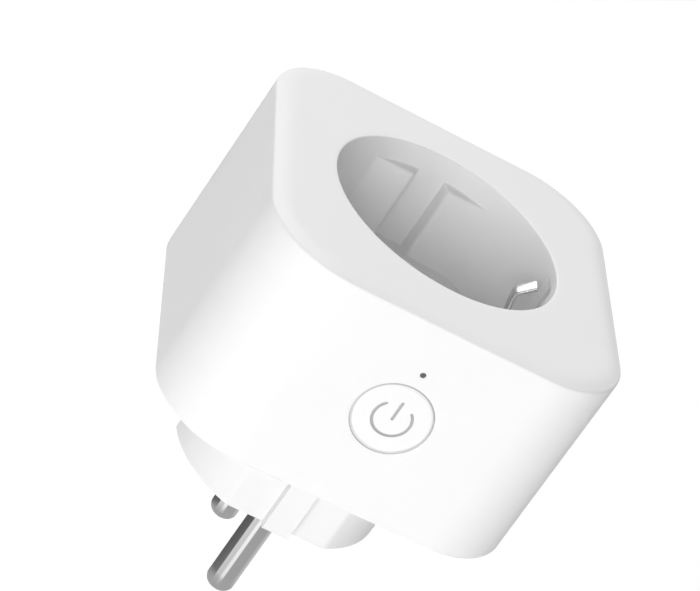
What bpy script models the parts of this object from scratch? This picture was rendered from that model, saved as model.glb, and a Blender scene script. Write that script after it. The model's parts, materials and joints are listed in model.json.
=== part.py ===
"""Smart plug: a Wi-Fi switched adapter between a round two-pin wall socket with side earth clips and
the plug of an appliance.

Run with blender --background --python part.py, or from Blender's text editor.

Frame: the origin is the centre of the plug boss's pin-side face, the face that meets the floor of
the wall socket.  +Z runs along the plug from the wall to the appliance, -Y is the side with the
power button, and the live and neutral pins lie on the Y axis.  Dimensions are in millimetres and
each helper turns them into metres with MM.
"""

import math

import bmesh
import bpy

MM = 0.001
OBJECT_NAME = "smart_plug"
QUARTER_TURN = math.pi / 2

# Gaps and fineness
GAP = 0.3  # clearance between two separate pieces that meet
OVERLAP = 0.6  # how far joined shapes run into each other
CORNER_STEPS = 9  # facets round a quarter of a rounded corner
ROUND_STEPS = 48  # facets round a large turned surface
SMALL_STEPS = 20  # facets round a pin, a post or a hole
TINY_STEPS = 12  # facets round a screw shank or a pinhole

# Standard socket and plug sizes
PIN_OFFSET = 9.5  # half the 19 mm between the pins
PIN_RADIUS = 2.4
PIN_LENGTH = 19.0
WELL_RADIUS = 19.5
WELL_DEPTH = 17.5
BOSS_RADIUS = 18.4
BOSS_LENGTH = 17.5
BOSS_FLAT = 16.2  # distance of the boss's flats from its axis
KEY_HALF = 2.3  # half the width of the key between two flats
KEY_REACH = 18.0  # distance of the key's outer face from the axis
CHANNEL_HALF = 2.6  # half the width of the channel that takes an appliance plug's key
RIB_FACE = 16.8  # distance of the well's guide ribs from its axis
RIB_DROP = 3.9  # how far the ribs' tops lie below the rim

# Body
BODY_DEPTH = 35.7
BACK_HALF = 30.5
CORNER_RADIUS = 14.1
DRAFT = 0.5  # how far each side leans in from the back to the face
CROWN_WIDTH = 2.5  # band along the face's edge that falls away
CROWN_DROP = 0.5
WALL = 2.0
FACE_WALL = 2.4
FLOOR_WALL = 2.0
TUBE_RADIUS = WELL_RADIUS + 1.9

# Levels along Z
BACK_Z = BOSS_LENGTH
FACE_Z = BACK_Z + BODY_DEPTH
WELL_FLOOR_Z = FACE_Z - WELL_DEPTH
FLOOR_UNDER_Z = WELL_FLOOR_Z - FLOOR_WALL
CAVITY_TOP_Z = FACE_Z - FACE_WALL
PLATE_TOP_Z = BACK_Z + WALL
BOARD_LOW = PLATE_TOP_Z + 1.3
BOARD_THICK = 1.6
BOARD_TOP = BOARD_LOW + BOARD_THICK
SEAT_Z = BOARD_TOP + GAP  # underside of a component on the main board

# Button and light
BUTTON_Z = BACK_Z + 17.85
BUTTON_RADIUS = 6.0
BUTTON_HOLE = BUTTON_RADIUS + GAP
FLANGE_RADIUS = 7.2
LIGHT_Z = BUTTON_Z + 8.8
LIGHT_HOLE = 0.45
SIDE_Y = -(BACK_HALF - DRAFT / 2)  # the button side at mid height

# Screws
POST_OFFSET = 21.2
POST_RADIUS = 3.2
PILOT_RADIUS = 1.5
SCREW_HEAD_RADIUS = 2.9
COUNTERBORE_RADIUS = SCREW_HEAD_RADIUS + GAP
COUNTERBORE_DEPTH = 1.0
CARRIER_SCREW_X = 11.2

# Earth path
EARTH_X = 18.0
EARTH_SLOT_HALF = 2.3
POCKET_X = 20.6  # bottom of the pocket behind an earth clip
STRIP = 0.6  # thickness of the contact metal
EARTH_BRIDGE_Z = 27.6

# Safety shutter
CARRIER_LOW = 30.3
CARRIER_TOP = 31.3
SHUTTER_LOW = CARRIER_TOP + 0.4
SHUTTER_TOP = FLOOR_UNDER_Z - GAP
SHUTTER_REACH = 13.4
SHUTTER_HALF_ANGLE = math.radians(21)
PIN_HOLE = 2.8
HUB_RADIUS = 4.2
STEM_RADIUS = 3.0
STEM_LOW = 28.3
SPINDLE_RADIUS = 1.6
SPINDLE_LOW = 30.8

# Control board, which stands behind the button side
CONTROL_FRONT_Y = -24.2
CONTROL_BACK_Y = -23.0
SWITCH_FRONT_Y = CONTROL_FRONT_Y - GAP - 1.8


def clear_scene():
    """Removes every object that is there at the start."""
    for old in list(bpy.data.objects):
        bpy.data.objects.remove(old, do_unlink=True)


def new_collection(name):
    collection = bpy.data.collections.new(name)
    bpy.context.scene.collection.children.link(collection)
    return collection


def material(name, colour, roughness, metallic=0.0):
    """A plain Principled material."""
    made = bpy.data.materials.new(name)
    made.use_nodes = True
    shader = made.node_tree.nodes["Principled BSDF"]
    shader.inputs["Base Color"].default_value = (*colour, 1.0)
    shader.inputs["Roughness"].default_value = roughness
    shader.inputs["Metallic"].default_value = metallic
    return made


def add_object(name, mesh, location):
    """An object in the cutters' collection.  finish() moves a real piece to the parts' collection."""
    made = bpy.data.objects.new(name, mesh)
    made.location = [value * MM for value in location]
    made.hide_render = True
    made.display_type = "WIRE"
    CUTTERS.objects.link(made)
    return made


def from_bmesh(name, shape, location):
    """Writes a bmesh in millimetres into a new object in metres."""
    bmesh.ops.scale(shape, vec=(MM, MM, MM), verts=shape.verts)
    mesh = bpy.data.meshes.new(name)
    shape.to_mesh(mesh)
    shape.free()
    return add_object(name, mesh, location)


def block(name, low, high):
    """A box between two opposite corners, with its origin at its centre."""
    shape = bmesh.new()
    bmesh.ops.create_cube(shape, size=1.0)
    size = [b - a for a, b in zip(low, high)]
    bmesh.ops.scale(shape, vec=size, verts=shape.verts)
    centre = [(a + b) / 2 for a, b in zip(low, high)]
    return from_bmesh(name, shape, centre)


def rod(name, radius, low, high, place, axis="Z", steps=SMALL_STEPS):
    """A cylinder from low to high along an axis.  place is its centre on the other two axes."""
    shape = bmesh.new()
    bmesh.ops.create_cone(shape, cap_ends=True, segments=steps, radius1=radius, radius2=radius, depth=high - low)
    middle = (low + high) / 2
    turns = {"X": (0, QUARTER_TURN, 0), "Y": (QUARTER_TURN, 0, 0), "Z": (0, 0, 0)}
    spots = {"X": (middle, *place), "Y": (place[0], middle, place[-1]), "Z": (*place, middle)}
    made = from_bmesh(name, shape, spots[axis])
    made.rotation_euler = turns[axis]
    return made


def rounded_block(name, half, corner, low, high, draft, crown=None):
    """A square block with round upright corners.  Its sides lean in by draft from low to high, and a
    crown (width, drop) lowers a band along the top face's edge."""
    shape = bmesh.new()
    bmesh.ops.create_cube(shape, size=2.0)
    width, drop = crown or (0.0, 0.0)
    half_height = (high - drop - low) / 2
    bmesh.ops.scale(shape, vec=(half, half, half_height), verts=shape.verts)
    upright = [edge for edge in shape.edges if edge.verts[0].co.z * edge.verts[1].co.z < 0]
    bmesh.ops.bevel(
        shape, geom=upright, offset=corner, offset_type="OFFSET", segments=CORNER_STEPS, profile=0.5, affect="EDGES"
    )
    straight = half - corner
    for vert in shape.verts:
        if vert.co.z < 0:
            continue
        for axis in (0, 1):
            reach = abs(vert.co[axis]) - straight
            if reach > 0:
                vert.co[axis] = math.copysign(straight + reach * (1 - draft / corner), vert.co[axis])
    if crown:
        top = [face for face in shape.faces if face.normal.z > 0.9]
        bmesh.ops.inset_region(shape, faces=top, thickness=width, depth=drop)
    return from_bmesh(name, shape, (0, 0, low + half_height))


def turned(name, profile, place, axis="Z", steps=ROUND_STEPS):
    """A solid of revolution.  profile runs down the outer side, as (radius, height) pairs.  With axis
    "Y" its height points to -Y."""
    mesh = bpy.data.meshes.new(name)
    points = [(radius * MM, 0.0, height * MM) for radius, height in profile]
    mesh.from_pydata(points, [(i, i + 1) for i in range(len(points) - 1)], [])
    made = add_object(name, mesh, place)
    screw = made.modifiers.new("turn", "SCREW")
    screw.axis = "Z"
    screw.steps = steps
    screw.render_steps = steps
    screw.use_merge_vertices = True
    screw.merge_threshold = 0.00001
    if axis == "Y":
        made.rotation_euler = (QUARTER_TURN, 0, 0)
    return made


def to_mesh(curve_object):
    """Turns a curve object into a mesh object with welded caps."""
    bpy.context.view_layer.update()
    evaluated = curve_object.evaluated_get(bpy.context.evaluated_depsgraph_get())
    mesh = bpy.data.meshes.new_from_object(evaluated)
    shape = bmesh.new()
    shape.from_mesh(mesh)
    bmesh.ops.remove_doubles(shape, verts=shape.verts, dist=0.000001)
    shape.to_mesh(mesh)
    shape.free()
    made = add_object(curve_object.name + "_mesh", mesh, (0, 0, 0))
    made.matrix_world = curve_object.matrix_world.copy()
    made.name = curve_object.name.replace("_curve", "")
    bpy.data.objects.remove(curve_object)
    return made


def curve(name, lines, closed, location, turn=(0, 0, 0), dimensions="2D"):
    """A curve object of straight-sided splines."""
    data = bpy.data.curves.new(name, "CURVE")
    data.dimensions = dimensions
    for line in lines:
        spline = data.splines.new("POLY")
        spline.points.add(len(line) - 1)
        for point, spot in zip(spline.points, line):
            x, y, z = (*spot, 0.0)[:3]
            point.co = (x * MM, y * MM, z * MM, 1.0)
        spline.use_cyclic_u = closed
    made = bpy.data.objects.new(name + "_curve", data)
    made.location = [value * MM for value in location]
    made.rotation_euler = turn
    CUTTERS.objects.link(made)
    return made


def plate(name, outlines, low, high, turn=(0, 0, 0), place=None):
    """A flat piece between two heights.  The first outline is its edge, the others are its holes."""
    made = curve(name, outlines, True, place or (0, 0, (low + high) / 2), turn)
    made.data.fill_mode = "BOTH"
    made.data.extrude = (high - low) / 2 * MM
    return to_mesh(made)


def ribbon(name, path, width, location, turn):
    """A strip of contact metal: a path in the local XY plane, carried across its width along local Z."""
    made = curve(name, [path], False, location, turn)
    made.data.extrude = width / 2 * MM
    made = to_mesh(made)
    shell = made.modifiers.new("thickness", "SOLIDIFY")
    shell.thickness = STRIP * MM
    shell.offset = 0.0
    shell.use_even_offset = True
    return made


def arc(radius, start, end, steps, centre=(0.0, 0.0)):
    """Points along an arc, both ends included."""
    angles = [start + (end - start) * i / steps for i in range(steps + 1)]
    return [(centre[0] + radius * math.cos(a), centre[1] + radius * math.sin(a)) for a in angles]


def circle(radius, steps, centre=(0.0, 0.0)):
    return arc(radius, 0.0, math.tau, steps, centre)[:-1]


def combine(target, tool, operation):
    """Cuts or joins a tool with the EXACT solver.  The tool stays a hidden wire object."""
    step = target.modifiers.new(tool.name, "BOOLEAN")
    step.operation = operation
    step.solver = "EXACT"
    step.object = tool


def cut(target, *tools):
    for tool in tools:
        combine(target, tool, "DIFFERENCE")


def join(target, *tools):
    for tool in tools:
        combine(target, tool, "UNION")


def soften(piece, width, segments=1):
    """A small bevel on a moulded or pressed piece."""
    bevel = piece.modifiers.new("edge", "BEVEL")
    bevel.width = width * MM
    bevel.segments = segments
    bevel.limit_method = "ANGLE"


def finish(piece, finish_material, smooth=False, parent=None):
    """Makes an object a real piece: its material, its collection and its shading."""
    CUTTERS.objects.unlink(piece)
    PARTS.objects.link(piece)
    piece.hide_render = False
    piece.display_type = "TEXTURED"
    piece.data.materials.clear()
    piece.data.materials.append(finish_material)
    if smooth:
        for screw in [m for m in piece.modifiers if m.type == "SCREW"]:
            screw.use_smooth_shade = True
        piece.data.shade_smooth()
    if parent:
        piece.parent = parent
        piece.matrix_parent_inverse = parent.matrix_world.inverted()
    return piece


def pivot(name, location):
    """An empty on a joint's axis."""
    made = bpy.data.objects.new(name, None)
    made.location = [value * MM for value in location]
    PARTS.objects.link(made)
    bpy.context.view_layer.update()
    return made


def corners(offset):
    """The four places (+-offset, +-offset)."""
    return [(sx * offset, sy * offset) for sx in (-1, 1) for sy in (-1, 1)]


# Casing


def guide_rib(side_x, side_y):
    """One guide rib of the well: a flat front, and a back that is rooted in the round wall."""
    root = WELL_RADIUS + OVERLAP
    start = math.asin(RIB_FACE / root)
    end = math.acos(CHANNEL_HALF / root)
    outline = [(CHANNEL_HALF, RIB_FACE), *arc(root, start, end, 4)]
    outline = [(side_x * x, side_y * y) for x, y in outline]
    name = f"guide_rib_{side_x}_{side_y}"
    return plate(name, [outline], WELL_FLOOR_Z - OVERLAP, FACE_Z - RIB_DROP)


def front_housing():
    """The white front shell: side walls, face, socket well with its floor, and screw posts."""
    crown = (CROWN_WIDTH, CROWN_DROP)
    shell = rounded_block("front_housing", BACK_HALF, CORNER_RADIUS, BACK_Z, FACE_Z, DRAFT, crown)
    hollow = rounded_block(
        "cavity", BACK_HALF - WALL, CORNER_RADIUS - WALL, BACK_Z - 2 * OVERLAP, CAVITY_TOP_Z, DRAFT
    )
    cut(shell, hollow)
    tube = rod("well_tube", TUBE_RADIUS, FLOOR_UNDER_Z, CAVITY_TOP_Z + OVERLAP, (0, 0), steps=ROUND_STEPS)
    join(shell, tube)
    for i, place in enumerate(corners(POST_OFFSET)):
        join(shell, rod(f"post_{i}", POST_RADIUS, PLATE_TOP_Z + GAP, CAVITY_TOP_Z + OVERLAP, place))
    rim = 0.4
    well = [
        (0, FACE_Z + 1),
        (WELL_RADIUS + rim + 1, FACE_Z + 1),
        (WELL_RADIUS, FACE_Z - rim),
        (WELL_RADIUS, WELL_FLOOR_Z),
        (0, WELL_FLOOR_Z),
    ]
    cut(shell, turned("well", well, (0, 0, 0), steps=64))
    for side_x in (-1, 1):
        for side_y in (-1, 1):
            join(shell, guide_rib(side_x, side_y))
    join(shell, rod("spindle", SPINDLE_RADIUS, SPINDLE_LOW, FLOOR_UNDER_Z + OVERLAP, (0, 0), steps=TINY_STEPS))
    for side in (-1, 1):
        place = (side * CARRIER_SCREW_X, 0)
        join(shell, rod(f"carrier_boss_{side}", 2.2, CARRIER_TOP + GAP, FLOOR_UNDER_Z + OVERLAP, place))
        cut(shell, rod(f"carrier_pilot_{side}", 1.2, CARRIER_TOP, FLOOR_UNDER_Z - GAP, place, steps=TINY_STEPS))
        pin_place = (0, side * PIN_OFFSET)
        cut(shell, rod(f"pin_hole_{side}", PIN_HOLE, FLOOR_UNDER_Z - 1, WELL_FLOOR_Z + 1, pin_place))
        inner, outer = sorted((side * (EARTH_X - 1.4), side * POCKET_X))
        low = (inner, -EARTH_SLOT_HALF, FLOOR_UNDER_Z - 1)
        cut(shell, block(f"earth_slot_{side}", low, (outer, EARTH_SLOT_HALF, FACE_Z - 2.2)))
    outside, inside = -BACK_HALF - 2, -BACK_HALF + WALL + 2
    cut(shell, rod("button_hole", BUTTON_HOLE, outside, inside, (0, BUTTON_Z), "Y", 32))
    cut(shell, rod("light_hole", LIGHT_HOLE, outside, inside, (0, LIGHT_Z), "Y", TINY_STEPS))
    for i, place in enumerate(corners(POST_OFFSET)):
        cut(shell, rod(f"pilot_{i}", PILOT_RADIUS, PLATE_TOP_Z - 1, PLATE_TOP_Z + 10, place, steps=TINY_STEPS))
    finish(shell, WHITE_PLASTIC)


def plug_boss():
    """The round plug boss, with two flats on each of its Y sides and a key between them."""
    boss = rod("plug_boss", BOSS_RADIUS, 0.0, BACK_Z + OVERLAP, (0, 0), steps=64)
    past = BOSS_RADIUS + 1
    for side in (-1, 1):
        near, far = sorted((side * KEY_REACH, side * past))
        cut(boss, block(f"key_top_{side}", (-KEY_HALF - 1, near, -1), (KEY_HALF + 1, far, BACK_Z + 2)))
        near, far = sorted((side * BOSS_FLAT, side * past))
        for hand in (-1, 1):
            inner, outer = sorted((hand * KEY_HALF, hand * BOSS_RADIUS))
            cut(boss, block(f"boss_flat_{side}_{hand}", (inner, near, -1), (outer, far, BACK_Z + 2)))
    return boss


def rear_cover():
    """The back plate with the plug boss, hollow for the relay and open to the main board."""
    half = BACK_HALF - WALL - GAP
    cover = rounded_block("rear_cover", half, CORNER_RADIUS - WALL - GAP, BACK_Z, PLATE_TOP_Z, 0.0)
    join(cover, plug_boss())
    hollow_radius, boss_floor = 14.6, 4.0
    cut(cover, rod("boss_hollow", hollow_radius, boss_floor, PLATE_TOP_Z + 1, (0, 0), steps=ROUND_STEPS))
    for side in (-1, 1):
        cut(cover, rod(f"boss_pin_hole_{side}", PIN_RADIUS + GAP, -1, boss_floor + 1, (0, side * PIN_OFFSET)))
        inner, outer = sorted((side * (EARTH_X - 1.1), side * (EARTH_X + 1.0)))
        low = (inner, -EARTH_SLOT_HALF, -1)
        cut(cover, block(f"earth_groove_{side}", low, (outer, EARTH_SLOT_HALF, PLATE_TOP_Z + 1)))
    for i, place in enumerate(corners(POST_OFFSET)):
        bore = rod(f"counterbore_{i}", COUNTERBORE_RADIUS, BACK_Z - 1, BACK_Z + COUNTERBORE_DEPTH, place)
        hole = rod(f"screw_hole_{i}", PILOT_RADIUS, BACK_Z, PLATE_TOP_Z + 1, place, steps=TINY_STEPS)
        cut(cover, bore, hole)
    for i, place in enumerate(((-24, 8), (-24, -8), (24, 8), (24, -8))):
        join(cover, rod(f"board_pad_{i}", 1.6, PLATE_TOP_Z - OVERLAP, BOARD_LOW - GAP, place, steps=TINY_STEPS))
    finish(cover, WHITE_PLASTIC)


def cover_screws():
    """Four pan-head screws that hold the rear cover to the front housing's posts."""
    head_low = BACK_Z + 0.1
    head_high = BACK_Z + COUNTERBORE_DEPTH - GAP
    shank = PILOT_RADIUS - GAP
    for i, (x, y) in enumerate(corners(POST_OFFSET)):
        profile = [
            (0, PLATE_TOP_Z + 8),
            (shank * 0.5, PLATE_TOP_Z + 8),
            (shank, PLATE_TOP_Z + 7),
            (shank, head_high),
            (SCREW_HEAD_RADIUS, head_high),
            (SCREW_HEAD_RADIUS, head_low + 0.2),
            (SCREW_HEAD_RADIUS - 0.3, head_low),
            (0, head_low),
        ]
        finish(turned(f"cover_screw_{i + 1}", profile, (x, y, 0), steps=16), SCREW_STEEL, smooth=True)


# Plug side metal


def plug_pin(name, side):
    """A solid contact pin with a rounded tip, a collar inside the boss and a tail for its busbar."""
    tip_round, collar_low, collar_high, tail_top = 1.4, 4.3, 5.5, 8.0
    flat = PIN_RADIUS - tip_round
    profile = [
        (0, tail_top),
        (1.8, tail_top),
        (1.8, collar_high),
        (3.4, collar_high),
        (3.4, collar_low),
        (PIN_RADIUS, collar_low),
        *arc(tip_round, 0.0, -QUARTER_TURN, 4, (flat, tip_round - PIN_LENGTH)),
        (0, -PIN_LENGTH),
    ]
    finish(turned(name, profile, (0, side * PIN_OFFSET, 0), steps=32), NICKEL, smooth=True)


def busbar(name, side):
    """The strip from a pin's tail out to the boss wall and up to the main board."""
    tail_z = 8.0 + GAP + STRIP / 2
    path = [(side * 7.9, tail_z), (side * 13.0, tail_z), (side * 13.0, BOARD_LOW - GAP)]
    finish(ribbon(name, path, 4.0, (0, 0, 0), (QUARTER_TURN, 0, QUARTER_TURN)), BRASS)


def plug_earth_contact(name, side):
    """The sprung strip along one side of the boss that meets the wall socket's earth clip."""
    path = [
        (side * (EARTH_X - 0.6), 1.0),
        (side * EARTH_X, 3.2),
        (side * EARTH_X, EARTH_BRIDGE_Z - STRIP / 2 - GAP),
    ]
    finish(ribbon(name, path, 3.8, (0, 0, 0), (QUARTER_TURN, 0, 0)), NICKEL)


# Socket side metal


def socket_contact(name, side):
    """A split sleeve that grips one pin of the appliance's plug."""
    half_slot = math.radians(14)
    middle = side * QUARTER_TURN + math.pi
    path = arc(PIN_RADIUS + 0.4, middle + half_slot, middle + math.tau - half_slot, 14)
    height = CARRIER_LOW - 0.4 - SEAT_Z
    place = (0, side * PIN_OFFSET, SEAT_Z + height / 2)
    finish(ribbon(name, path, height, place, (0, 0, 0)), BRASS)


def socket_earth_bracket():
    """Both earth clips of the well and the bridge between them, as one bent strip."""
    clip = [
        (17.9, FACE_Z - 3.1),
        (15.5, FACE_Z - 5.6),
        (16.0, FACE_Z - 8.5),
        (EARTH_X - 0.3, FACE_Z - 15.5),
        (EARTH_X, FLOOR_UNDER_Z),
        (EARTH_X, EARTH_BRIDGE_Z),
    ]
    path = clip + [(-x, z) for x, z in reversed(clip)]
    finish(ribbon("socket_earth_bracket", path, 2.4, (0, 0, 0), (QUARTER_TURN, 0, 0)), NICKEL)


# Safety shutter


def shutter_carrier():
    """The disc under the well's floor that carries the shutter."""
    holes = [circle(STEM_RADIUS + 0.4, 24)]
    for side in (-1, 1):
        holes.append(circle(3.0, SMALL_STEPS, (0, side * PIN_OFFSET)))
        holes.append(circle(1.3, TINY_STEPS, (side * CARRIER_SCREW_X, 0)))
    finish(plate("shutter_carrier", [circle(14.2, 40), *holes], CARRIER_LOW, CARRIER_TOP), GREY_PLASTIC)
    for i, side in enumerate((-1, 1)):
        head_low, head_high = CARRIER_LOW - GAP - 0.9, CARRIER_LOW - GAP
        profile = [(0, 32.9), (0.9, 32.9), (0.9, head_high), (1.9, head_high), (1.9, head_low), (0, head_low)]
        place = (side * CARRIER_SCREW_X, 0, 0)
        finish(turned(f"carrier_screw_{i + 1}", profile, place, steps=TINY_STEPS), SCREW_STEEL, smooth=True)


def safety_shutter():
    """The turning shutter: two blades that close the pin holes, and a stem for its spring."""
    centre_z = (SHUTTER_LOW + SHUTTER_TOP) / 2
    axis = pivot("shutter_pivot", (0, 0, centre_z))
    outline = []
    for side in (-1, 1):
        middle = side * QUARTER_TURN
        blade_start, blade_end = middle - SHUTTER_HALF_ANGLE, middle + SHUTTER_HALF_ANGLE
        outline += arc(SHUTTER_REACH, blade_start, blade_end, 6)
        hub_start = blade_end + math.radians(12)
        outline += arc(HUB_RADIUS, hub_start, blade_start + math.pi - math.radians(12), 8)
    half = (SHUTTER_TOP - SHUTTER_LOW) / 2
    shutter = plate("safety_shutter", [outline], -half, half, place=(0, 0, centre_z))
    join(shutter, rod("shutter_stem", STEM_RADIUS, STEM_LOW, SHUTTER_LOW + OVERLAP, (0, 0), steps=26))
    cut(shutter, rod("shutter_bore", SPINDLE_RADIUS + GAP, SPINDLE_LOW - GAP, SHUTTER_TOP + 1, (0, 0)))
    finish(shutter, GREY_PLASTIC, parent=axis)


def shutter_spring():
    """The torsion spring round the shutter's stem, whose straight leg hooks against the carrier."""
    wire, radius, turns, steps_per_turn, leg = 0.2, 3.9, 1.75, 16, 2.4
    low, high = STEM_LOW + 0.1 + wire, CARRIER_LOW - GAP - wire
    count = round(turns * steps_per_turn)
    line = []
    for i in range(count + 1):
        angle = math.tau * turns * i / count
        line.append((radius * math.cos(angle), radius * math.sin(angle), low + (high - low) * i / count))
    x, y, z = line[-1]
    line.append((x - leg * math.sin(angle), y + leg * math.cos(angle), z))
    spring = curve("shutter_spring", [line], False, (0, 0, 0), dimensions="3D")
    spring.data.bevel_depth = wire * MM
    spring.data.bevel_resolution = 2
    spring.data.use_fill_caps = True
    finish(to_mesh(spring), SPRING_STEEL, smooth=True)


# Button side


def power_button():
    """The round button: its cap stands flush in the side wall and a flange keeps it in."""
    depth_to_flange = 2.4
    cap = [
        (0, 0),
        (BUTTON_RADIUS - GAP, 0),
        (BUTTON_RADIUS, -0.3),
        (BUTTON_RADIUS, -depth_to_flange),
        (FLANGE_RADIUS, -depth_to_flange),
        (FLANGE_RADIUS, -depth_to_flange - 0.8),
        (0, -depth_to_flange - 0.8),
    ]
    axis = pivot("button_axis", (0, SIDE_Y, BUTTON_Z))
    button = turned("power_button", cap, (0, SIDE_Y, BUTTON_Z), "Y", 40)
    finish(button, WHITE_PLASTIC, smooth=True, parent=axis)
    front = SIDE_Y + depth_to_flange + 0.8 + GAP
    plunger = rod("switch_plunger", 1.1, front, front + 1.15, (0, BUTTON_Z), "Y", TINY_STEPS)
    finish(plunger, BLACK_PLASTIC, parent=axis)


def control_board():
    """The upright board behind the button, with the switch, the light and the radio module."""
    board_low, board_high = SEAT_Z, 48.0
    low, high = (-10.0, CONTROL_FRONT_Y, board_low), (16.2, CONTROL_BACK_Y, board_high)
    finish(block("control_pcb", low, high), BOARD_GREEN)
    half, back_y = 2.6, CONTROL_FRONT_Y - GAP
    switch = block(
        "tact_switch_body", (-half, SWITCH_FRONT_Y, BUTTON_Z - half), (half, back_y, BUTTON_Z + half)
    )
    bore_end = back_y - GAP
    cut(switch, rod("switch_bore", 1.4, SWITCH_FRONT_Y - 1, bore_end, (0, BUTTON_Z), "Y", TINY_STEPS))
    finish(switch, SCREW_STEEL)
    led = block("status_led", (-0.8, back_y - 0.6, LIGHT_Z - 0.4), (0.8, back_y, LIGHT_Z + 0.4))
    finish(led, LAMP_PLASTIC)
    pipe = [(0, 0), (0.9, 0), (1.2, -0.4), (1.2, -2.3), (0, -2.3)]
    finish(turned("light_pipe", pipe, (0, -27.7, LIGHT_Z), "Y", 16), LAMP_PLASTIC, smooth=True)
    radio_y = CONTROL_BACK_Y + GAP
    radio = block("wifi_module_board", (7.0, radio_y, 27.0), (16.0, radio_y + 0.7, 43.0))
    finish(radio, BOARD_BLUE)
    can_y = radio_y + 0.7 + GAP
    can = block("wifi_shield_can", (7.6, can_y, 28.0), (15.4, can_y + 0.7, 38.0))
    finish(can, SCREW_STEEL)
    connector = block("board_connector", (-8.0, radio_y, SEAT_Z), (-0.5, radio_y + 2.1, SEAT_Z + 2.5))
    finish(connector, BLACK_PLASTIC)


# Main board


def main_board():
    """The main board, with holes for the appliance's pins and slots for the earth strips."""
    half, clip = 27.4, 37.0
    short = clip - half
    edge = [(half, -short), (half, short), (short, half), (-short, half)]
    edge += [(-x, -y) for x, y in edge]
    holes = []
    for side in (-1, 1):
        holes.append(circle(3.2, SMALL_STEPS, (0, side * PIN_OFFSET)))
        slot = [(-1.0, -2.4), (1.0, -2.4), (1.0, 2.4), (-1.0, 2.4)]
        holes.append([(side * EARTH_X + x, y) for x, y in slot])
    finish(plate("main_pcb", [edge, *holes], BOARD_LOW, BOARD_TOP), BOARD_GREEN)


def relay():
    """The power relay, which hangs under the board inside the plug boss."""
    case = block("relay", (-9.4, -5.6, 5.4), (9.4, 5.6, BOARD_LOW - GAP))
    soften(case, 0.5)
    finish(case, RELAY_BLUE)


def transformer():
    """The small supply transformer: a ferrite core with two windows, and a winding on its middle leg."""
    x, y = 12.6, 12.6
    low, high = SEAT_Z, CARRIER_LOW - 0.4
    core = block("transformer_core", (x - 5.6, y - 3.0, low), (x + 5.6, y + 3.0, high))
    leg, window = 1.8, 4.0
    for side in (-1, 1):
        inner, outer = sorted((side * leg, side * window))
        cut(core, block(f"core_window_{side}", (x + inner, y - 4, low + 1.2), (x + outer, y + 4, high - 1.2)))
    finish(core, FERRITE)
    hole = leg + GAP
    wide = window - GAP
    edge = [(-wide, -4.7), (wide, -4.7), (wide, 4.7), (-wide, 4.7)]
    inner = [(-hole, -3.3), (hole, -3.3), (hole, 3.3), (-hole, 3.3)]
    outlines = [[(x + u, y + v) for u, v in line] for line in (edge, inner)]
    finish(plate("transformer_winding", outlines, low + 1.2 + GAP, high - 1.2 - GAP), COPPER_TAPE)


def small_components():
    """The capacitors, the surge and current parts, and the two chips of the main board."""
    radius, length = 3.4, 11.0
    for i, y in enumerate((6.8, 14.6)):
        place = (y, SEAT_Z + radius)
        capacitor = rod(f"capacitor_{i + 1}", radius, -18.5, -18.5 + length, place, "X", 24)
        soften(capacitor, 0.4)
        finish(capacitor, BLACK_PLASTIC, smooth=False)
    disc = rod("varistor", 4.2, 21.3, 24.7, (-9.0, SEAT_Z + 4.2), "X", 24)
    soften(disc, 0.8, 2)
    finish(disc, VARISTOR_BLUE)
    fuse = rod("fuse_resistor", 1.8, -13.5, -4.5, (-23.0, SEAT_Z + 1.8), "Y", 16)
    soften(fuse, 0.5)
    finish(fuse, GREY_PLASTIC)
    chip = block("metering_chip", (-16.0, -11.0, SEAT_Z), (-6.0, -7.0, SEAT_Z + 1.7))
    finish(chip, BLACK_PLASTIC)
    supply = block("power_chip", (7.5, -9.0, SEAT_Z), (12.5, -5.0, SEAT_Z + 1.6))
    finish(supply, BLACK_PLASTIC)
    shunt = block("current_shunt", (8.0, -16.0, SEAT_Z), (15.0, -13.0, SEAT_Z + 0.9))
    finish(shunt, BRASS)


def main():
    front_housing()
    rear_cover()
    cover_screws()
    for side, line in ((-1, "live"), (1, "neutral")):
        plug_pin(f"{line}_pin", side)
        busbar(f"{line}_busbar", side)
        socket_contact(f"{line}_contact", side)
    plug_earth_contact("plug_earth_contact_left", -1)
    plug_earth_contact("plug_earth_contact_right", 1)
    socket_earth_bracket()
    shutter_carrier()
    safety_shutter()
    shutter_spring()
    power_button()
    control_board()
    main_board()
    relay()
    transformer()
    small_components()


clear_scene()
PARTS = new_collection(OBJECT_NAME)
CUTTERS = new_collection(OBJECT_NAME + "_cutters")
WHITE_PLASTIC = material("white_plastic", (0.86, 0.86, 0.86), 0.35)
GREY_PLASTIC = material("grey_plastic", (0.45, 0.46, 0.47), 0.5)
BLACK_PLASTIC = material("black_plastic", (0.03, 0.03, 0.035), 0.45)
LAMP_PLASTIC = material("lamp_plastic", (0.75, 0.78, 0.80), 0.2)
NICKEL = material("nickel_plate", (0.72, 0.70, 0.67), 0.22, 1.0)
BRASS = material("brass", (0.75, 0.60, 0.30), 0.3, 1.0)
SCREW_STEEL = material("zinc_steel", (0.62, 0.62, 0.63), 0.35, 1.0)
SPRING_STEEL = material("spring_steel", (0.50, 0.50, 0.52), 0.3, 1.0)
FERRITE = material("ferrite", (0.08, 0.08, 0.085), 0.6)
COPPER_TAPE = material("winding_tape", (0.80, 0.62, 0.10), 0.45)
BOARD_GREEN = material("green_board", (0.03, 0.20, 0.08), 0.4)
BOARD_BLUE = material("blue_board", (0.02, 0.05, 0.22), 0.4)
RELAY_BLUE = material("relay_case", (0.04, 0.12, 0.40), 0.35)
VARISTOR_BLUE = material("varistor_coat", (0.03, 0.10, 0.35), 0.4)
main()
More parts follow.
